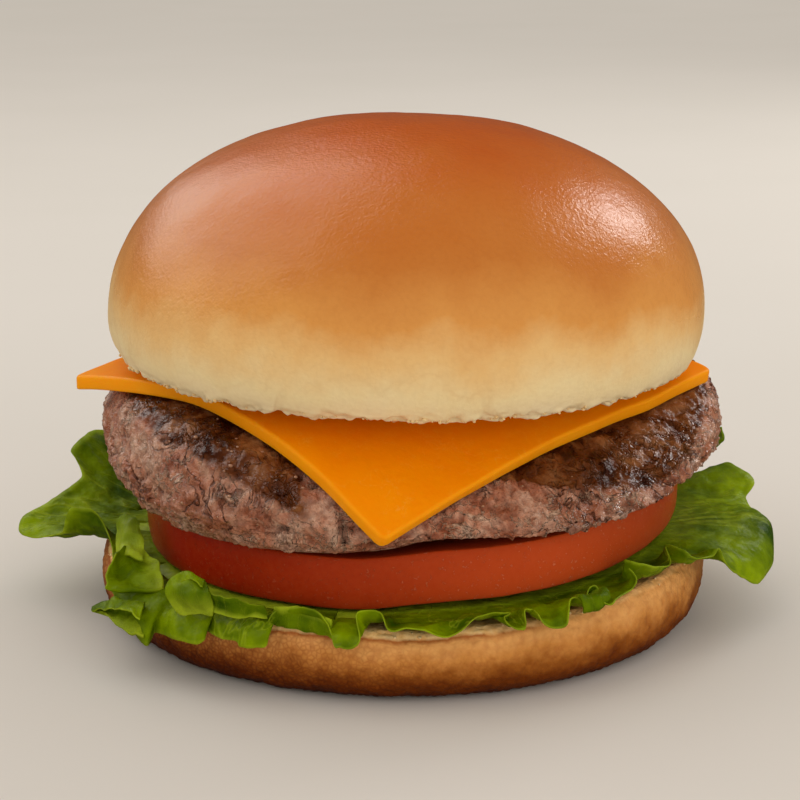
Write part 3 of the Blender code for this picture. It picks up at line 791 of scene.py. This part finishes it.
def make_crumbs(crown, heel):
    """Torn bits of bread along the crown's cut edge and the heel's rim."""
    crumb = small_ball("bread_crumb")
    reshape(crumb, lambda point: point * (1 + 0.45 * lumps(point, 0.7, 3.0)))
    rng = random.Random(CRUMB_SEED)
    along_edge = [v for v in crown.data.vertices
                  if v.normal.z < 0.1 and 0.0001 < v.co.z - crown_bottom(v.co.x, v.co.y) < 0.0010
                  and math.hypot(v.co.x, v.co.y) > CROWN_CUT_RADIUS * 0.97]
    on_rim = [v for v in heel.data.vertices
              if HEEL_HEIGHT - 0.0014 < v.co.z - heel_top(v.co.x, v.co.y) + HEEL_HEIGHT
              < HEEL_HEIGHT - 0.0002]
    spots = []
    for vertices, count in ((along_edge, CROWN_CRUMBS), (on_rim, HEEL_CRUMBS)):
        for vertex in rng.sample(vertices, min(count, len(vertices))):
            size = rng.uniform(*CRUMB_SIZE)
            stretch = (size * rng.uniform(0.7, 1.4), size * rng.uniform(0.7, 1.4), size)
            spots.append((vertex.co + vertex.normal * size * 0.3, Vector(vertex.normal), stretch))
    return strew("bread_crumbs", crumb, spots)


def make_beads(patty):
    """Beads of fat that catch the light on the meat."""
    bead = small_ball("fat_bead")
    rng = random.Random(BEAD_SEED)
    bare = [v for v in patty.data.vertices
            if v.normal.z > -0.4 and not under_cheese(v.co.x, v.co.y)
            and math.hypot(v.co.x, v.co.y) > PATTY_FLAT and v.co.z > BEAD_LOWEST]
    spots = []
    for vertex in rng.sample(bare, BEAD_COUNT):
        size = rng.uniform(*BEAD_SIZE) * rng.choice((1.0, 1.0, 1.5))
        stretch = (size * rng.uniform(0.8, 1.8), size, size * 0.7)
        spots.append((Vector(vertex.co), Vector(vertex.normal), stretch))
    return strew("fat_beads", bead, spots)


# ================================================================ the leaf

def frill_rows():
    """The edge's rows in metres and radians, the hidden back filled in by rule."""
    rows = [(math.radians(turn), reach * 0.001, height * 0.001) for turn, reach, height in FRILL]
    start = FRILL[-1][0]
    step = (360 - (FRILL[0][0] - start)) / BACK_FOLDS
    for fold in range(BACK_FOLDS):
        swell = 1 + 0.3 * math.sin(2.3 * fold)
        for share, reach, height in BACK_FOLD:
            if fold or share:
                turn = start - step * (fold + share + 0.06 * math.sin(5.1 * fold + 3 * share))
                rows.append((math.radians(turn), reach * 0.001, 0.015 + (height * 0.001 - 0.015) * swell))
    return rows


def edge_point(rows, place):
    """Azimuth, reach and height of the leaf's closed edge, place counted in rows."""
    count = len(rows)
    first = math.floor(place)
    step = place - first
    knots = []
    for k in (first - 1, first, first + 1, first + 2):
        turn, reach, height = rows[k % count]
        knots.append((turn - 2 * math.pi * (k // count), reach, height))
    weights = (
        -0.5 * step + step ** 2 - 0.5 * step ** 3,
        1 - 2.5 * step ** 2 + 1.5 * step ** 3,
        0.5 * step + 2 * step ** 2 - 1.5 * step ** 3,
        -0.5 * step ** 2 + 0.5 * step ** 3,
    )
    return [sum(weight * knot[i] for weight, knot in zip(weights, knots)) for i in range(3)]


def ring_turn(rows, place):
    """Azimuth at the pressed ring, evened out so that the pleats run together there."""
    steps = range(-8, 9, 2)
    return sum(edge_point(rows, place + step)[0] for step in steps) / len(steps)


def pressed_height(x, y):
    return 0.5 * (heel_top(x, y) + tomato_bottom(x, y))


def clear_of_stack(radius, height, x, y):
    """Pushes a point of the leaf out of the layers beside it, the shorter way."""
    pressed = pressed_height(x, y)
    over = max(tomato_bottom(x, y) - LEAF_KEEP, pressed)
    under = min(heel_top(x, y) + LEAF_KEEP, pressed)
    wall = TOMATO_RADIUS + TOMATO_CENTRE[0] + LEAF_KEEP
    if radius < wall and over < height < tomato_top(x, y) + LEAF_KEEP:
        if height - over > wall - radius:
            radius = wall
        else:
            height = over
    if radius < HEEL_CUT_RADIUS + LEAF_KEEP and height < under:
        height = under
    elif height < heel_top(x, y) + LEAF_KEEP:
        rise = max(height - HEEL_BELLY, 0.0) / (heel_top(x, y) + LEAF_KEEP - HEEL_BELLY)
        most = 1 + sum(lobe[1] for lobe in HEEL_LOBES)
        bulge = HEEL_RADIUS * most - HEEL_CUT_RADIUS
        radius = max(radius, HEEL_CUT_RADIUS + bulge * math.sqrt(1 - rise * rise) + LEAF_KEEP)
    return radius, height


def sheet_point(edge, ring, out):
    """A point between the pressed ring (out 0) and the edge (out 1) of the leaf."""
    turn, reach, height = edge
    angle = ring + (turn - ring) * smooth_step(0.0, 1.0, out)
    ring_z = pressed_height(LEAF_RING * math.cos(angle), LEAF_RING * math.sin(angle))
    # an edge that stands up curls back over the rim, one that hangs goes out over it first
    hang = smooth_step(0.002, -0.003, height - ring_z)
    bend = min(reach + LEAF_CURL, LEAF_TURNOVER) * (1 - hang) + (reach - LEAF_CURL) * hang
    bend_z = ring_z + 0.0002 + 0.0026 * hang
    a, b, c = (1 - out) ** 2, 2 * out * (1 - out), out * out
    radius = a * LEAF_RING + b * bend + c * reach
    z = a * ring_z + b * bend_z + c * height
    # soft puckers between the veins, and broad folds
    spot = Vector((radius * math.cos(angle), radius * math.sin(angle), z))
    free = smooth_step(0.25, 0.7, out) * (1 - 0.6 * smooth_step(0.9, 1.0, out))
    wide = smooth_step(0.056, 0.066, radius)
    z += free * (0.0004 - 0.0012 * abs(lumps(spot, 0.0052, 3.0)) - 0.0006 * abs(lumps(spot, 0.0026, 6.0)))
    z += wide * 0.0013 * lumps(spot, 0.0105, 11.0)
    radius += free * 0.00050 * lumps(spot, 0.0055, 9.0)
    radius, z = clear_of_stack(radius, z, spot.x, spot.y)
    return Vector((radius * math.cos(angle), radius * math.sin(angle), z))


def wall_share(point, normal):
    """The leaf is thinner towards its edge, which is the last row of its grid."""
    return 1 - smooth_step(0.75, 1.0, point.y + 0.5)


def thicken(leaf):
    """Gives the leaf a wall, its underside and rim with their own finishes."""
    close_seams(leaf)
    up = sum(face.normal.z * face.area for face in leaf.data.polygons)
    if up < 0:
        leaf.data.flip_normals()
    wall = leaf.modifiers.new("thickness", "SOLIDIFY")
    wall.thickness = LEAF_THICKNESS
    wall.offset = 0.0
    wall.vertex_group = "wall"
    wall.thickness_vertex_group = LEAF_EDGE_SHARE
    wall.material_offset = 1
    wall.material_offset_rim = 2
    apply_modifiers(leaf)
    return leaf


def make_lettuce():
    """One leaf, pressed flat in the middle, its frilled edge out all round."""
    leaf = grid("lettuce_leaf", LEAF_COLUMNS, LEAF_ROWS)
    rows = frill_rows()

    def place(point):
        column = round((point.x + 0.5) * LEAF_COLUMNS) % LEAF_COLUMNS
        row = round((point.y + 0.5) * LEAF_ROWS)
        at = column / LEAF_COLUMNS * len(rows)
        ring = ring_turn(rows, at)
        if row <= LEAF_INNER_ROWS:
            radius = LEAF_RING * row / LEAF_INNER_ROWS
            x, y = radius * math.cos(ring), radius * math.sin(ring)
            return Vector((x, y, pressed_height(x, y)))
        out = (row - LEAF_INNER_ROWS) / (LEAF_ROWS - LEAF_INNER_ROWS)
        return sheet_point(edge_point(rows, at), ring, out)

    mask(leaf, "wall", wall_share)
    reshape(leaf, place)
    return thicken(leaf)


def through(knots, share):
    """A smooth way through the knots, share 0 at the first and 1 at the last."""
    at = share * (len(knots) - 1)
    first = min(int(at), len(knots) - 2)
    step = at - first
    before, start, end, after = (knots[min(max(first + k, 0), len(knots) - 1)] for k in (-1, 0, 1, 2))
    bend_in = (end - before) * 0.5
    bend_out = (after - start) * 0.5
    return (start * (1 - 3 * step ** 2 + 2 * step ** 3) + end * (3 * step ** 2 - 2 * step ** 3)
            + bend_in * (step - 2 * step ** 2 + step ** 3) + bend_out * (step ** 3 - step ** 2))


def knot(turn, reach, height):
    """A point from an azimuth in degrees and a reach and height in millimetres."""
    out, angle = reach * 0.001, math.radians(turn)
    return Vector((out * math.cos(angle), out * math.sin(angle), height * 0.001))


def make_lobes():
    """The curls and folds that stand free of the big leaf, one sheet each, joined."""
    sheets = []
    for name, rows in LOBES.items():
        sheet = grid("lettuce_lobes", LOBE_COLUMNS, LOBE_ROWS)
        net = [[knot(*measures) for measures in row] for row in rows]

        def place(point):
            spot = through([through(row, point.x + 0.5) for row in net], point.y + 0.5)
            rough = Vector([lumps(spot, 0.0036, seed) for seed in (21.0, 25.0, 29.0)])
            edge = Vector([lumps(spot, 0.0016, seed) for seed in (33.0, 37.0, 41.0)])
            rough *= 0.0006
            rough.z -= 0.0008 * abs(lumps(spot, 0.0030, 45.0))
            return spot + rough + edge * 0.0004 * smooth_step(0.7, 1.0, point.y + 0.5)

        mask(sheet, "wall", wall_share)
        reshape(sheet, place)
        if name == "rib":
            for corner in sheet.data.uv_layers.active.data:
                corner.uv.y *= 0.3
        sheets.append(sheet)
    return thicken(join(sheets))


# ================================================================ finishes

def paint(red, green, blue):
    """A colour given as a paint chart's values of 0 to 255."""
    linear = []
    for value in (red, green, blue):
        share = value / 255
        linear.append(share / 12.92 if share <= 0.04045 else ((share + 0.055) / 1.055) ** 2.4)
    return (*linear, 1.0)


class Graph:
    """Short calls that add nodes to a tree and join them."""

    def __init__(self, tree):
        self.tree = tree

    def add(self, kind, **settings):
        node = self.tree.nodes.new(kind)
        for key, value in settings.items():
            setattr(node, key, value)
        return node

    def feed(self, socket, value):
        """Writes a number or colour on the socket, and joins anything else to it."""
        if isinstance(value, (int, float, tuple)):
            socket.default_value = value
        else:
            self.tree.links.new(value, socket)

    def noise(self, where, scale, detail=3.0, rough=0.5, twist=0.0):
        node = self.add("ShaderNodeTexNoise")
        given = {"Vector": where, "Scale": scale, "Detail": detail, "Roughness": rough, "Distortion": twist}
        for name, value in given.items():
            self.feed(node.inputs[name], value)
        return node.outputs["Fac"]

    def cells(self, where, scale, feature="F1"):
        node = self.add("ShaderNodeTexVoronoi", feature=feature)
        self.feed(node.inputs["Vector"], where)
        self.feed(node.inputs["Scale"], scale)
        return node.outputs["Distance"]

    def span(self, value, low, high, to_low=0.0, to_high=1.0):
        """Value from low to high becomes to_low to to_high, and stays within them."""
        node = self.add("ShaderNodeMapRange")
        names = ("Value", "From Min", "From Max", "To Min", "To Max")
        for name, given in zip(names, (value, low, high, to_low, to_high)):
            self.feed(node.inputs[name], given)
        return node.outputs["Result"]

    def sums(self, kind, *values):
        node = self.add("ShaderNodeMath", operation=kind)
        for socket, value in zip(node.inputs, values):
            self.feed(socket, value)
        return node.outputs["Value"]

    def times(self, first, second):
        return self.sums("MULTIPLY", first, second)

    def ramp(self, value, *stops):
        """Colours along a value, each stop a position and a painted colour."""
        node = self.add("ShaderNodeValToRGB")
        elements = node.color_ramp.elements
        for i, (position, *shade) in enumerate(stops):
            element = elements[i] if i < 2 else elements.new(position)
            element.position = position
            element.color = paint(*shade)
        self.feed(node.inputs["Fac"], value)
        return node.outputs["Color"]

    def blend(self, share, first, second, kind="MIX"):
        node = self.add("ShaderNodeMix", data_type="RGBA", blend_type=kind)
        # the colour sockets are picked by number, as three kinds share each name
        for socket, value in ((node.inputs[0], share), (node.inputs[6], first), (node.inputs[7], second)):
            self.feed(socket, value)
        return node.outputs[2]

    def tint(self, colour, share, amount, shade, kind="MIX"):
        """The colour with some of another shade wherever share is above 0."""
        return self.blend(self.times(share, amount), colour, shade, kind)

    def axes(self, where):
        node = self.add("ShaderNodeSeparateXYZ")
        self.feed(node.inputs["Vector"], where)
        return node.outputs

    def relief(self, height, distance, strength=1.0, normal=None):
        node = self.add("ShaderNodeBump")
        node.inputs["Strength"].default_value = strength
        node.inputs["Distance"].default_value = distance
        self.feed(node.inputs["Height"], height)
        if normal is not None:
            self.feed(node.inputs["Normal"], normal)
        return node.outputs["Normal"]


class Effect(Graph):
    """A shader node group that several finishes share."""

    def __init__(self, name, takes, gives):
        super().__init__(bpy.data.node_groups.new(name, "ShaderNodeTree"))
        sockets = self.tree.interface
        sockets.new_socket("Place", in_out="INPUT", socket_type="NodeSocketVector")
        for label, value in takes.items():
            sockets.new_socket(label, in_out="INPUT", socket_type="NodeSocketFloat").default_value = value
        for label in gives:
            sockets.new_socket(label, in_out="OUTPUT", socket_type="NodeSocketFloat")
        self.takes = self.add("NodeGroupInput").outputs
        self.gives = self.add("NodeGroupOutput").inputs


class Finish(Graph):
    """A material: its nodes, and the shader that they feed."""

    def __init__(self, name):
        self.material = bpy.data.materials.new(name)
        self.material.use_nodes = True
        super().__init__(self.material.node_tree)
        self.shader = self.tree.nodes["Principled BSDF"]
        self.place = self.add("ShaderNodeTexCoord").outputs["Object"]

    def use(self, effect, place=None, **values):
        node = self.add("ShaderNodeGroup")
        node.node_tree = effect.tree
        self.feed(node.inputs["Place"], place or self.place)
        for name, value in values.items():
            self.feed(node.inputs[name], value)
        return node.outputs

    def patches(self, scale, contrast):
        return self.use(EFFECTS["mottling"], Scale=scale, Contrast=contrast)["Share"]

    def pebbles(self, scale, grain):
        return self.use(EFFECTS["pitting"], Scale=scale, Grain=grain)

    def wet(self, scale, amount):
        return self.use(EFFECTS["wetness"], Scale=scale, Amount=amount)["Wet"]

    def lines(self, scale, width, place=None):
        return self.use(EFFECTS["threads"], place, Scale=scale, Width=width)["Thread"]

    def attribute(self, name):
        return self.add("ShaderNodeAttribute", attribute_name=name).outputs["Fac"]

    def set(self, **values):
        for name, value in values.items():
            self.feed(self.shader.inputs[name.replace("_", " ")], value)

    def done(self, colour, roughness, shine, skin=None):
        """The finished material, its shine written on the shader's own socket."""
        self.set(Base_Color=colour, Roughness=roughness, Specular_IOR_Level=shine)
        if skin is not None:
            self.set(Normal=skin)
        return self.material

    def soft(self, weight, depth, radius):
        """Light that sinks in by depth and comes out again, by its colour's radius."""
        self.set(Subsurface_Weight=weight, Subsurface_Scale=depth, Subsurface_Radius=radius)


EFFECTS = {}     # the shared effects by name, made once in main()


def mottling():
    """Soft uneven patches."""
    e = Effect("mottling", {"Scale": 100.0, "Contrast": 2.0}, ("Share",))
    patches = e.noise(e.takes["Place"], e.takes["Scale"], 4.0, 0.6)
    stretched = e.sums("MULTIPLY_ADD", e.sums("SUBTRACT", patches, 0.5), e.takes["Contrast"], 0.5)
    e.feed(e.gives["Share"], e.span(stretched, 0.0, 1.0))
    return e


def pitting():
    """Small rounded domes with pits between them, over a finer grain; the finishes paint shade in the pits
    by the Pit mask.
    """
    e = Effect("pitting", {"Scale": 1000.0, "Grain": 0.3}, ("Height", "Pit"))
    wander = e.noise(e.takes["Place"], e.times(e.takes["Scale"], 1.7), 2.0)
    dome = e.cells(e.takes["Place"], e.takes["Scale"], "SMOOTH_F1")
    e.feed(e.gives["Height"], e.sums("SUBTRACT", e.times(wander, e.takes["Grain"]), dome))
    e.feed(e.gives["Pit"], e.span(dome, 0.35, 0.75))
    return e


def wetness():
    """Where juice or fat has gathered."""
    e = Effect("wetness", {"Scale": 300.0, "Amount": 0.4}, ("Wet",))
    pools = e.noise(e.takes["Place"], e.takes["Scale"], 3.0, 0.7, 0.4)
    start = e.sums("SUBTRACT", 0.72, e.times(e.takes["Amount"], 0.5))
    e.feed(e.gives["Wet"], e.span(pools, start, e.sums("ADD", start, 0.05)))
    return e


def threads():
    """Thin winding lines, such as fat, fibres or creases."""
    e = Effect("threads", {"Scale": 200.0, "Width": 0.04}, ("Thread",))
    field = e.noise(e.takes["Place"], e.takes["Scale"], 3.0, 0.6, 0.6)
    away = e.sums("ABSOLUTE", e.sums("SUBTRACT", field, 0.5))
    line = e.span(away, 0.0, e.takes["Width"], 1.0, 0.0)
    sparse = e.noise(e.takes["Place"], e.times(e.takes["Scale"], 0.45), 1.0)
    e.feed(e.gives["Thread"], e.times(line, e.span(sparse, 0.46, 0.56)))
    return e


def crown_finish():
    """Glazed crust: cream at the cut edge, golden, then red-brown on top."""
    f = Finish("glazed_crust")
    x, _, z = f.axes(f.place)
    level = f.sums("MULTIPLY_ADD", x, -CROWN_TILT, z)
    patches = f.patches(60.0, 2.2)
    level = f.sums("ADD", level, f.span(patches, 0.0, 1.0, -0.0030, 0.0030))
    base = crown_bottom(0, 0)
    colour = f.ramp(
        f.span(level, base, base + CROWN_HEIGHT),
        (0.00, 238, 216, 172), (0.12, 238, 212, 158), (0.25, 234, 188, 122),
        (0.38, 220, 150, 74), (0.58, 198, 118, 48), (0.78, 194, 106, 36), (1.00, 188, 86, 16),
    )
    grain = f.pebbles(1300.0, 0.8)
    # faint painted shade in the pits of the grain
    colour = f.tint(colour, grain["Pit"], 0.05, paint(150, 72, 22), "MULTIPLY")
    # darker winding streaks towards the cut edge
    low_streaks = f.times(f.lines(70.0, 0.05), f.span(level, base, base + 0.012, 0.30, 0.0))
    colour = f.blend(low_streaks, colour, paint(190, 132, 70))
    skin = f.relief(grain["Height"], 0.00012, 0.5)
    skin = f.relief(f.noise(f.place, 2600.0, 2.0), 0.00008, 0.6, skin)
    glaze = f.span(level, base + 0.004, base + 0.014, 0.55, 0.27)
    return f.done(colour, glaze, 0.12, skin)


def heel_finish():
    """Baked crust, dark underneath, partly from baking and partly as painted contact shade, with painted
    shade in its creases and pits, and the pale crumb showing above the cut line.
    """
    f = Finish("baked_crust")
    level = f.attribute("rise")
    patches = f.patches(170.0, 2.6)
    wavy = f.sums("ADD", level, f.span(patches, 0.0, 1.0, -0.0010, 0.0010))
    # dark at the bottom: partly the baked underside, partly painted contact shade along the base
    crust = f.ramp(
        f.span(wavy, 0.0, HEEL_HEIGHT),
        (0.00, 84, 32, 2), (0.30, 122, 58, 9), (0.46, 160, 92, 30),
        (0.62, 208, 138, 66), (0.82, 234, 168, 96), (1.00, 230, 160, 88),
    )
    # darker towards the left: partly browner crust, partly painted shade from the leaf above
    browned_and_shaded_left = f.span(f.axes(f.place)[0], -0.045, -0.005, 0.45, 0.0)
    crust = f.blend(browned_and_shaded_left, crust, paint(150, 96, 50), "MULTIPLY")
    grain = f.pebbles(950.0, 0.6)
    # painted shade in the pits of the grain
    crust = f.tint(crust, grain["Pit"], 0.25, paint(176, 104, 44), "MULTIPLY")
    # painted shade in the creases between the crust's cells, heavier low down and to the left
    crease = f.span(f.cells(f.place, 1150.0, "DISTANCE_TO_EDGE"), 0.0, 0.28, 1.0, 0.0)
    pebbled = f.span(f.sums("MULTIPLY_ADD", level, 2.5, f.axes(f.place)[0]), -0.022, 0.030, 0.60, 0.04)
    crust = f.blend(f.times(crease, pebbled), crust, paint(170, 96, 36), "MULTIPLY")
    crumb = f.blend(f.patches(700.0, 3.0), paint(252, 194, 118), paint(255, 214, 152))
    ragged = f.sums("ADD", level, f.span(patches, 0.0, 1.0, -0.0003, 0.0003))
    left = f.span(f.sums("MULTIPLY_ADD", patches, 0.012, f.axes(f.place)[0]), 0.030, 0.018)
    line = f.times(f.span(ragged, HEEL_CUT - 0.0005, HEEL_CUT), f.times(left, 0.8))
    colour = f.blend(line, crust, paint(166, 88, 36))
    above = f.times(f.span(ragged, HEEL_CUT + 0.0001, HEEL_CUT + 0.0005), f.span(left, 0, 1, 0.35, 1))
    colour = f.blend(above, colour, crumb)
    skin = f.relief(grain["Height"], 0.00022, 0.6)
    skin = f.relief(f.times(crease, -1.0), 0.00008, 0.5, skin)
    skin = f.relief(f.noise(f.place, 2200.0, 2.0), 0.00010, 0.5, skin)
    return f.done(colour, f.span(patches, 0.0, 1.0, 0.5, 0.62), 0.08, skin)


def tomato_finish():
    """Ripe skin, deep red on the left and lighter on the right, where light and reflection are painted in,
    a little moist, with painted glints.
    """
    f = Finish("tomato_skin")
    x = f.axes(f.place)[0]
    patches = f.patches(110.0, 1.6)
    # painted light and reflection: the skin turns lighter and more orange towards the right
    side = f.span(f.sums("MULTIPLY_ADD", patches, 0.010, x), -0.030, 0.046)
    colour = f.blend(side, paint(150, 26, 0), paint(212, 84, 34))
    colour = f.blend(f.span(x, 0.026, 0.046, 0.0, 0.7), colour, paint(140, 44, 4))
    unripe = f.span(x, -0.047, -0.041, 0.35, 0.0)
    colour = f.blend(unripe, colour, paint(150, 84, 8))
    fine = f.patches(900.0, 2.5)
    colour = f.tint(colour, fine, 0.08, paint(226, 110, 60))
    moist = f.wet(1500.0, 0.22)
    # painted glints: pale specks in the moist spots, more of them towards the right
    painted_glints = f.times(moist, f.span(x, -0.02, 0.03, 0.12, 0.4))
    colour = f.blend(painted_glints, colour, paint(236, 150, 110))
    skin = f.relief(moist, 0.00012, 0.8)
    f.soft(0.12, 0.003, (1.0, 0.15, 0.03))
    return f.done(colour, f.span(moist, 0.0, 1.0, 0.32, 0.10), 0.06, skin)


def patty_finish():
    """Minced beef: pinkish brown, with painted shade in its pits, cracks and crevices, flecked with fat
    whose pale lines also stand in for painted glints, seared on top.
    """
    f = Finish("seared_mince")
    patches = f.patches(190.0, 3.0)
    broad = f.patches(75.0, 3.4)
    fine = f.patches(900.0, 3.4)
    grain = f.pebbles(820.0, 0.9)
    colour = f.ramp(patches, (0.0, 160, 90, 60), (0.35, 208, 142, 110), (0.65, 224, 172, 142),
                    (1.0, 236, 196, 168))
    colour = f.tint(colour, broad, 0.5, paint(158, 92, 62))
    colour = f.tint(colour, fine, 0.40, paint(140, 76, 50))
    # painted shade in the pits of the grain
    colour = f.tint(colour, grain["Pit"], 0.5, paint(96, 44, 24))
    # pale lines: partly fat, partly painted glints
    fat = f.lines(260.0, 0.030)
    colour = f.tint(colour, fat, 0.5, paint(226, 198, 168))
    # painted shade in the sunken cracks between the lumps
    crack = f.lines(150.0, 0.028)
    colour = f.tint(colour, crack, 0.75, paint(66, 26, 12))
    baked = f.sums("MULTIPLY_ADD", patches, 0.35, f.attribute("seared"))
    seared = f.span(baked, 0.50, 0.80)
    burnt = f.patches(150.0, 3.0)
    crust = f.ramp(burnt, (0.1, 58, 20, 2), (0.5, 104, 52, 18), (0.95, 150, 96, 54))
    colour = f.blend(seared, colour, crust)
    # painted shade where the relief sinks deepest
    hollow = f.span(f.attribute("depth"), 0.0, 1.0, 0.0, 0.65)
    colour = f.blend(hollow, colour, paint(76, 34, 16))
    wet = f.wet(420.0, 0.44)
    calm = f.span(seared, 0.0, 1.0, 1.0, 0.45)
    skin = f.relief(f.times(grain["Height"], calm), 0.00060, 1.0)
    skin = f.relief(f.times(f.noise(f.place, 1900.0, 4.0, 0.65), calm), 0.00040, 1.0, skin)
    skin = f.relief(f.sums("SUBTRACT", fat, crack), 0.00040, 1.0, skin)
    gloss = f.sums("MAXIMUM", wet, f.times(seared, 0.5))
    return f.done(colour, f.span(gloss, 0.0, 1.0, 0.36, 0.12), 0.42, skin)


def cheese_finish():
    """Processed cheese: bright orange, waxy, scuffed along the front, with a painted highlight along its
    edge.
    """
    f = Finish("soft_cheese")
    patches = f.patches(110.0, 1.5)
    colour = f.blend(patches, paint(242, 132, 0), paint(252, 148, 2))
    scuff = f.lines(330.0, 0.02)
    colour = f.tint(colour, scuff, 0.22, paint(250, 178, 70))
    # painted highlight: paler along the slice's edge
    colour = f.tint(colour, f.attribute("edge_highlight"), 0.35, paint(255, 172, 30))
    skin = f.relief(f.pebbles(500.0, 1.5)["Height"], 0.00006, 0.5)
    rough = f.span(f.sums("ADD", patches, scuff), 0.0, 1.2, 0.32, 0.50)
    f.soft(0.30, 0.003, (1.0, 0.35, 0.02))
    return f.done(colour, rough, 0.025, skin)


def fat_finish():
    """Melted fat: clear brown, very glossy, its brown lightened in part as painted glints."""
    f = Finish("melted_fat")
    # paler brown: partly the fat's own colour, partly painted glints
    tone = f.blend(f.noise(f.place, 400.0), paint(140, 92, 66), paint(190, 146, 116))
    return f.done(tone, 0.10, 0.7)


def crumb_finish():
    """Pale dry bread."""
    f = Finish("bread_crumb")
    patches = f.patches(500.0, 2.0)
    colour = f.blend(patches, paint(224, 184, 122), paint(240, 214, 164))
    skin = f.relief(f.pebbles(2500.0, 0.8)["Height"], 0.0001, 0.8)
    return f.done(colour, 0.8, 0.05, skin)


def leaf_finish(name, deep, bright, rib):
    """Green between paler ribs, yellow-green along the edge, with painted shade towards the middle and in
    the pits of the puckers.
    """
    f = Finish(name)
    surface = f.add("ShaderNodeTexCoord").outputs["UV"]
    out = f.axes(surface)[1]
    colour = f.blend(f.patches(75.0, 2.8), deep, bright)
    # painted shade towards the middle, where the leaf lies between the layers
    colour = f.blend(f.span(out, 0.85, 0.45, 0.0, 0.20), colour, deep)
    stretch = f.add("ShaderNodeMapping")
    stretch.inputs["Scale"].default_value = (0.55, 0.011, 0.02)
    f.feed(stretch.inputs["Vector"], surface)
    vein = f.lines(110.0, 0.030, stretch.outputs["Vector"])
    colour = f.tint(colour, vein, 0.35, rib)
    colour = f.blend(f.span(out, 0.95, 1.0, 0.0, 0.4), colour, rib)
    colour = f.blend(f.span(out, 0.35, 0.10, 0.0, 0.7), colour, rib)
    blister = f.pebbles(430.0, 0.8)
    # painted shade in the pits between the puckers
    colour = f.tint(colour, blister["Pit"], 0.4, deep)
    skin = f.relief(blister["Height"], 0.00035, 1.0)
    skin = f.relief(vein, 0.00020, 0.5, skin)
    f.soft(0.08, 0.0010, (0.6, 1.0, 0.05))
    return f.done(colour, 0.42, 0.03, skin)


# ================================================================ the studio

def make_stage():
    """A pale floor, plain and wide."""
    floor = grid("studio_floor", 8, 8, FLOOR_SIDE)
    f = Finish("pale_paper")
    tone = f.blend(f.noise(f.place, 9.0, 2.0), FLOOR_COLOUR, FLOOR_PALE)
    floor.data.materials.append(f.done(tone, 0.9, 0.0))
    floor.visible_glossy = False


def aim(thing, target):
    direction = Vector(target) - thing.location
    thing.rotation_euler = direction.to_track_quat("-Z", "Y").to_euler()


def soft_light(name, azimuth, elevation, distance, size, radiance, colour):
    """A softbox, its azimuth counted from the front towards the right."""
    data = bpy.data.lights.new(name, "AREA")
    data.shape = "RECTANGLE"
    data.size, data.size_y = size
    data.energy = radiance * math.pi * size[0] * size[1]
    data.color = colour
    lamp = add_object(name, data)
    turn, rise = math.radians(azimuth), math.radians(elevation)
    flat = math.cos(rise) * distance
    lamp.location = (flat * math.sin(turn), -flat * math.cos(turn), LIGHT_AIM + distance * math.sin(rise))
    aim(lamp, (0, 0, LIGHT_AIM))
    lamp.visible_camera = False
    return lamp


def make_studio():
    make_stage()
    for *measures, unseen in LIGHTS:
        lamp = soft_light(*measures)
        if unseen:
            setattr(lamp, unseen, False)
    world = bpy.data.worlds.new("room")
    world.use_nodes = True
    tree = world.node_tree
    background = tree.nodes["Background"]
    background.inputs["Color"].default_value = ROOM_COLOUR
    path = tree.nodes.new("ShaderNodeLightPath")
    strength = tree.nodes.new("ShaderNodeMapRange")
    tree.links.new(path.outputs["Is Glossy Ray"], strength.inputs["Value"])
    strength.inputs["To Min"].default_value = ROOM_LIGHT
    strength.inputs["To Max"].default_value = ROOM_REFLECTION
    tree.links.new(strength.outputs["Result"], background.inputs["Strength"])
    bpy.context.scene.world = world


def make_camera():
    data = bpy.data.cameras.new("camera")
    data.sensor_width = 36
    data.lens = CAMERA_LENS
    data.clip_start = 0.01
    camera = add_object("camera", data)
    camera.location = CAMERA_PLACE
    camera.rotation_euler = (math.pi / 2 - CAMERA_DIP, 0, 0)
    bpy.context.scene.camera = camera


# ================================================================ everything together

def main():
    make_camera()
    make_studio()
    bpy.context.scene.view_settings.view_transform = "Standard"
    for effect in (mottling, pitting, wetness, threads):
        EFFECTS[effect.__name__] = effect()
    heel, patty, crown = make_heel(), make_patty(), make_crown()
    finish_piece(make_crumbs(crown, heel), None, "crown_crust", crumb_finish())
    finish_piece(make_beads(patty), None, "cooked_beef", fat_finish())
    finish_piece(heel, "heel", "heel_crust", heel_finish())
    finish_piece(make_tomato(), "tomato", "tomato_skin", tomato_finish())
    finish_piece(patty, "patty", "cooked_beef", patty_finish())
    finish_piece(make_cheese(), "cheese", "cheese_slice", cheese_finish())
    finish_piece(crown, "crown", "crown_crust", crown_finish())
    leaf_finishes = (
        leaf_finish("leaf_top", paint(46, 72, 0), paint(138, 160, 0), paint(172, 188, 40)),
        # the underside is pale, and painted paler still for light shining through the leaf
        leaf_finish("leaf_underside", paint(198, 204, 108), paint(218, 222, 142), paint(230, 232, 176)),
        leaf_finish("leaf_edge", paint(160, 172, 30), paint(176, 186, 52), paint(186, 196, 84)),
    )
    finish_piece(make_lettuce(), "lettuce", "lettuce_leaf", *leaf_finishes)
    finish_piece(make_lobes(), None, "lettuce_leaf", *leaf_finishes)


main()
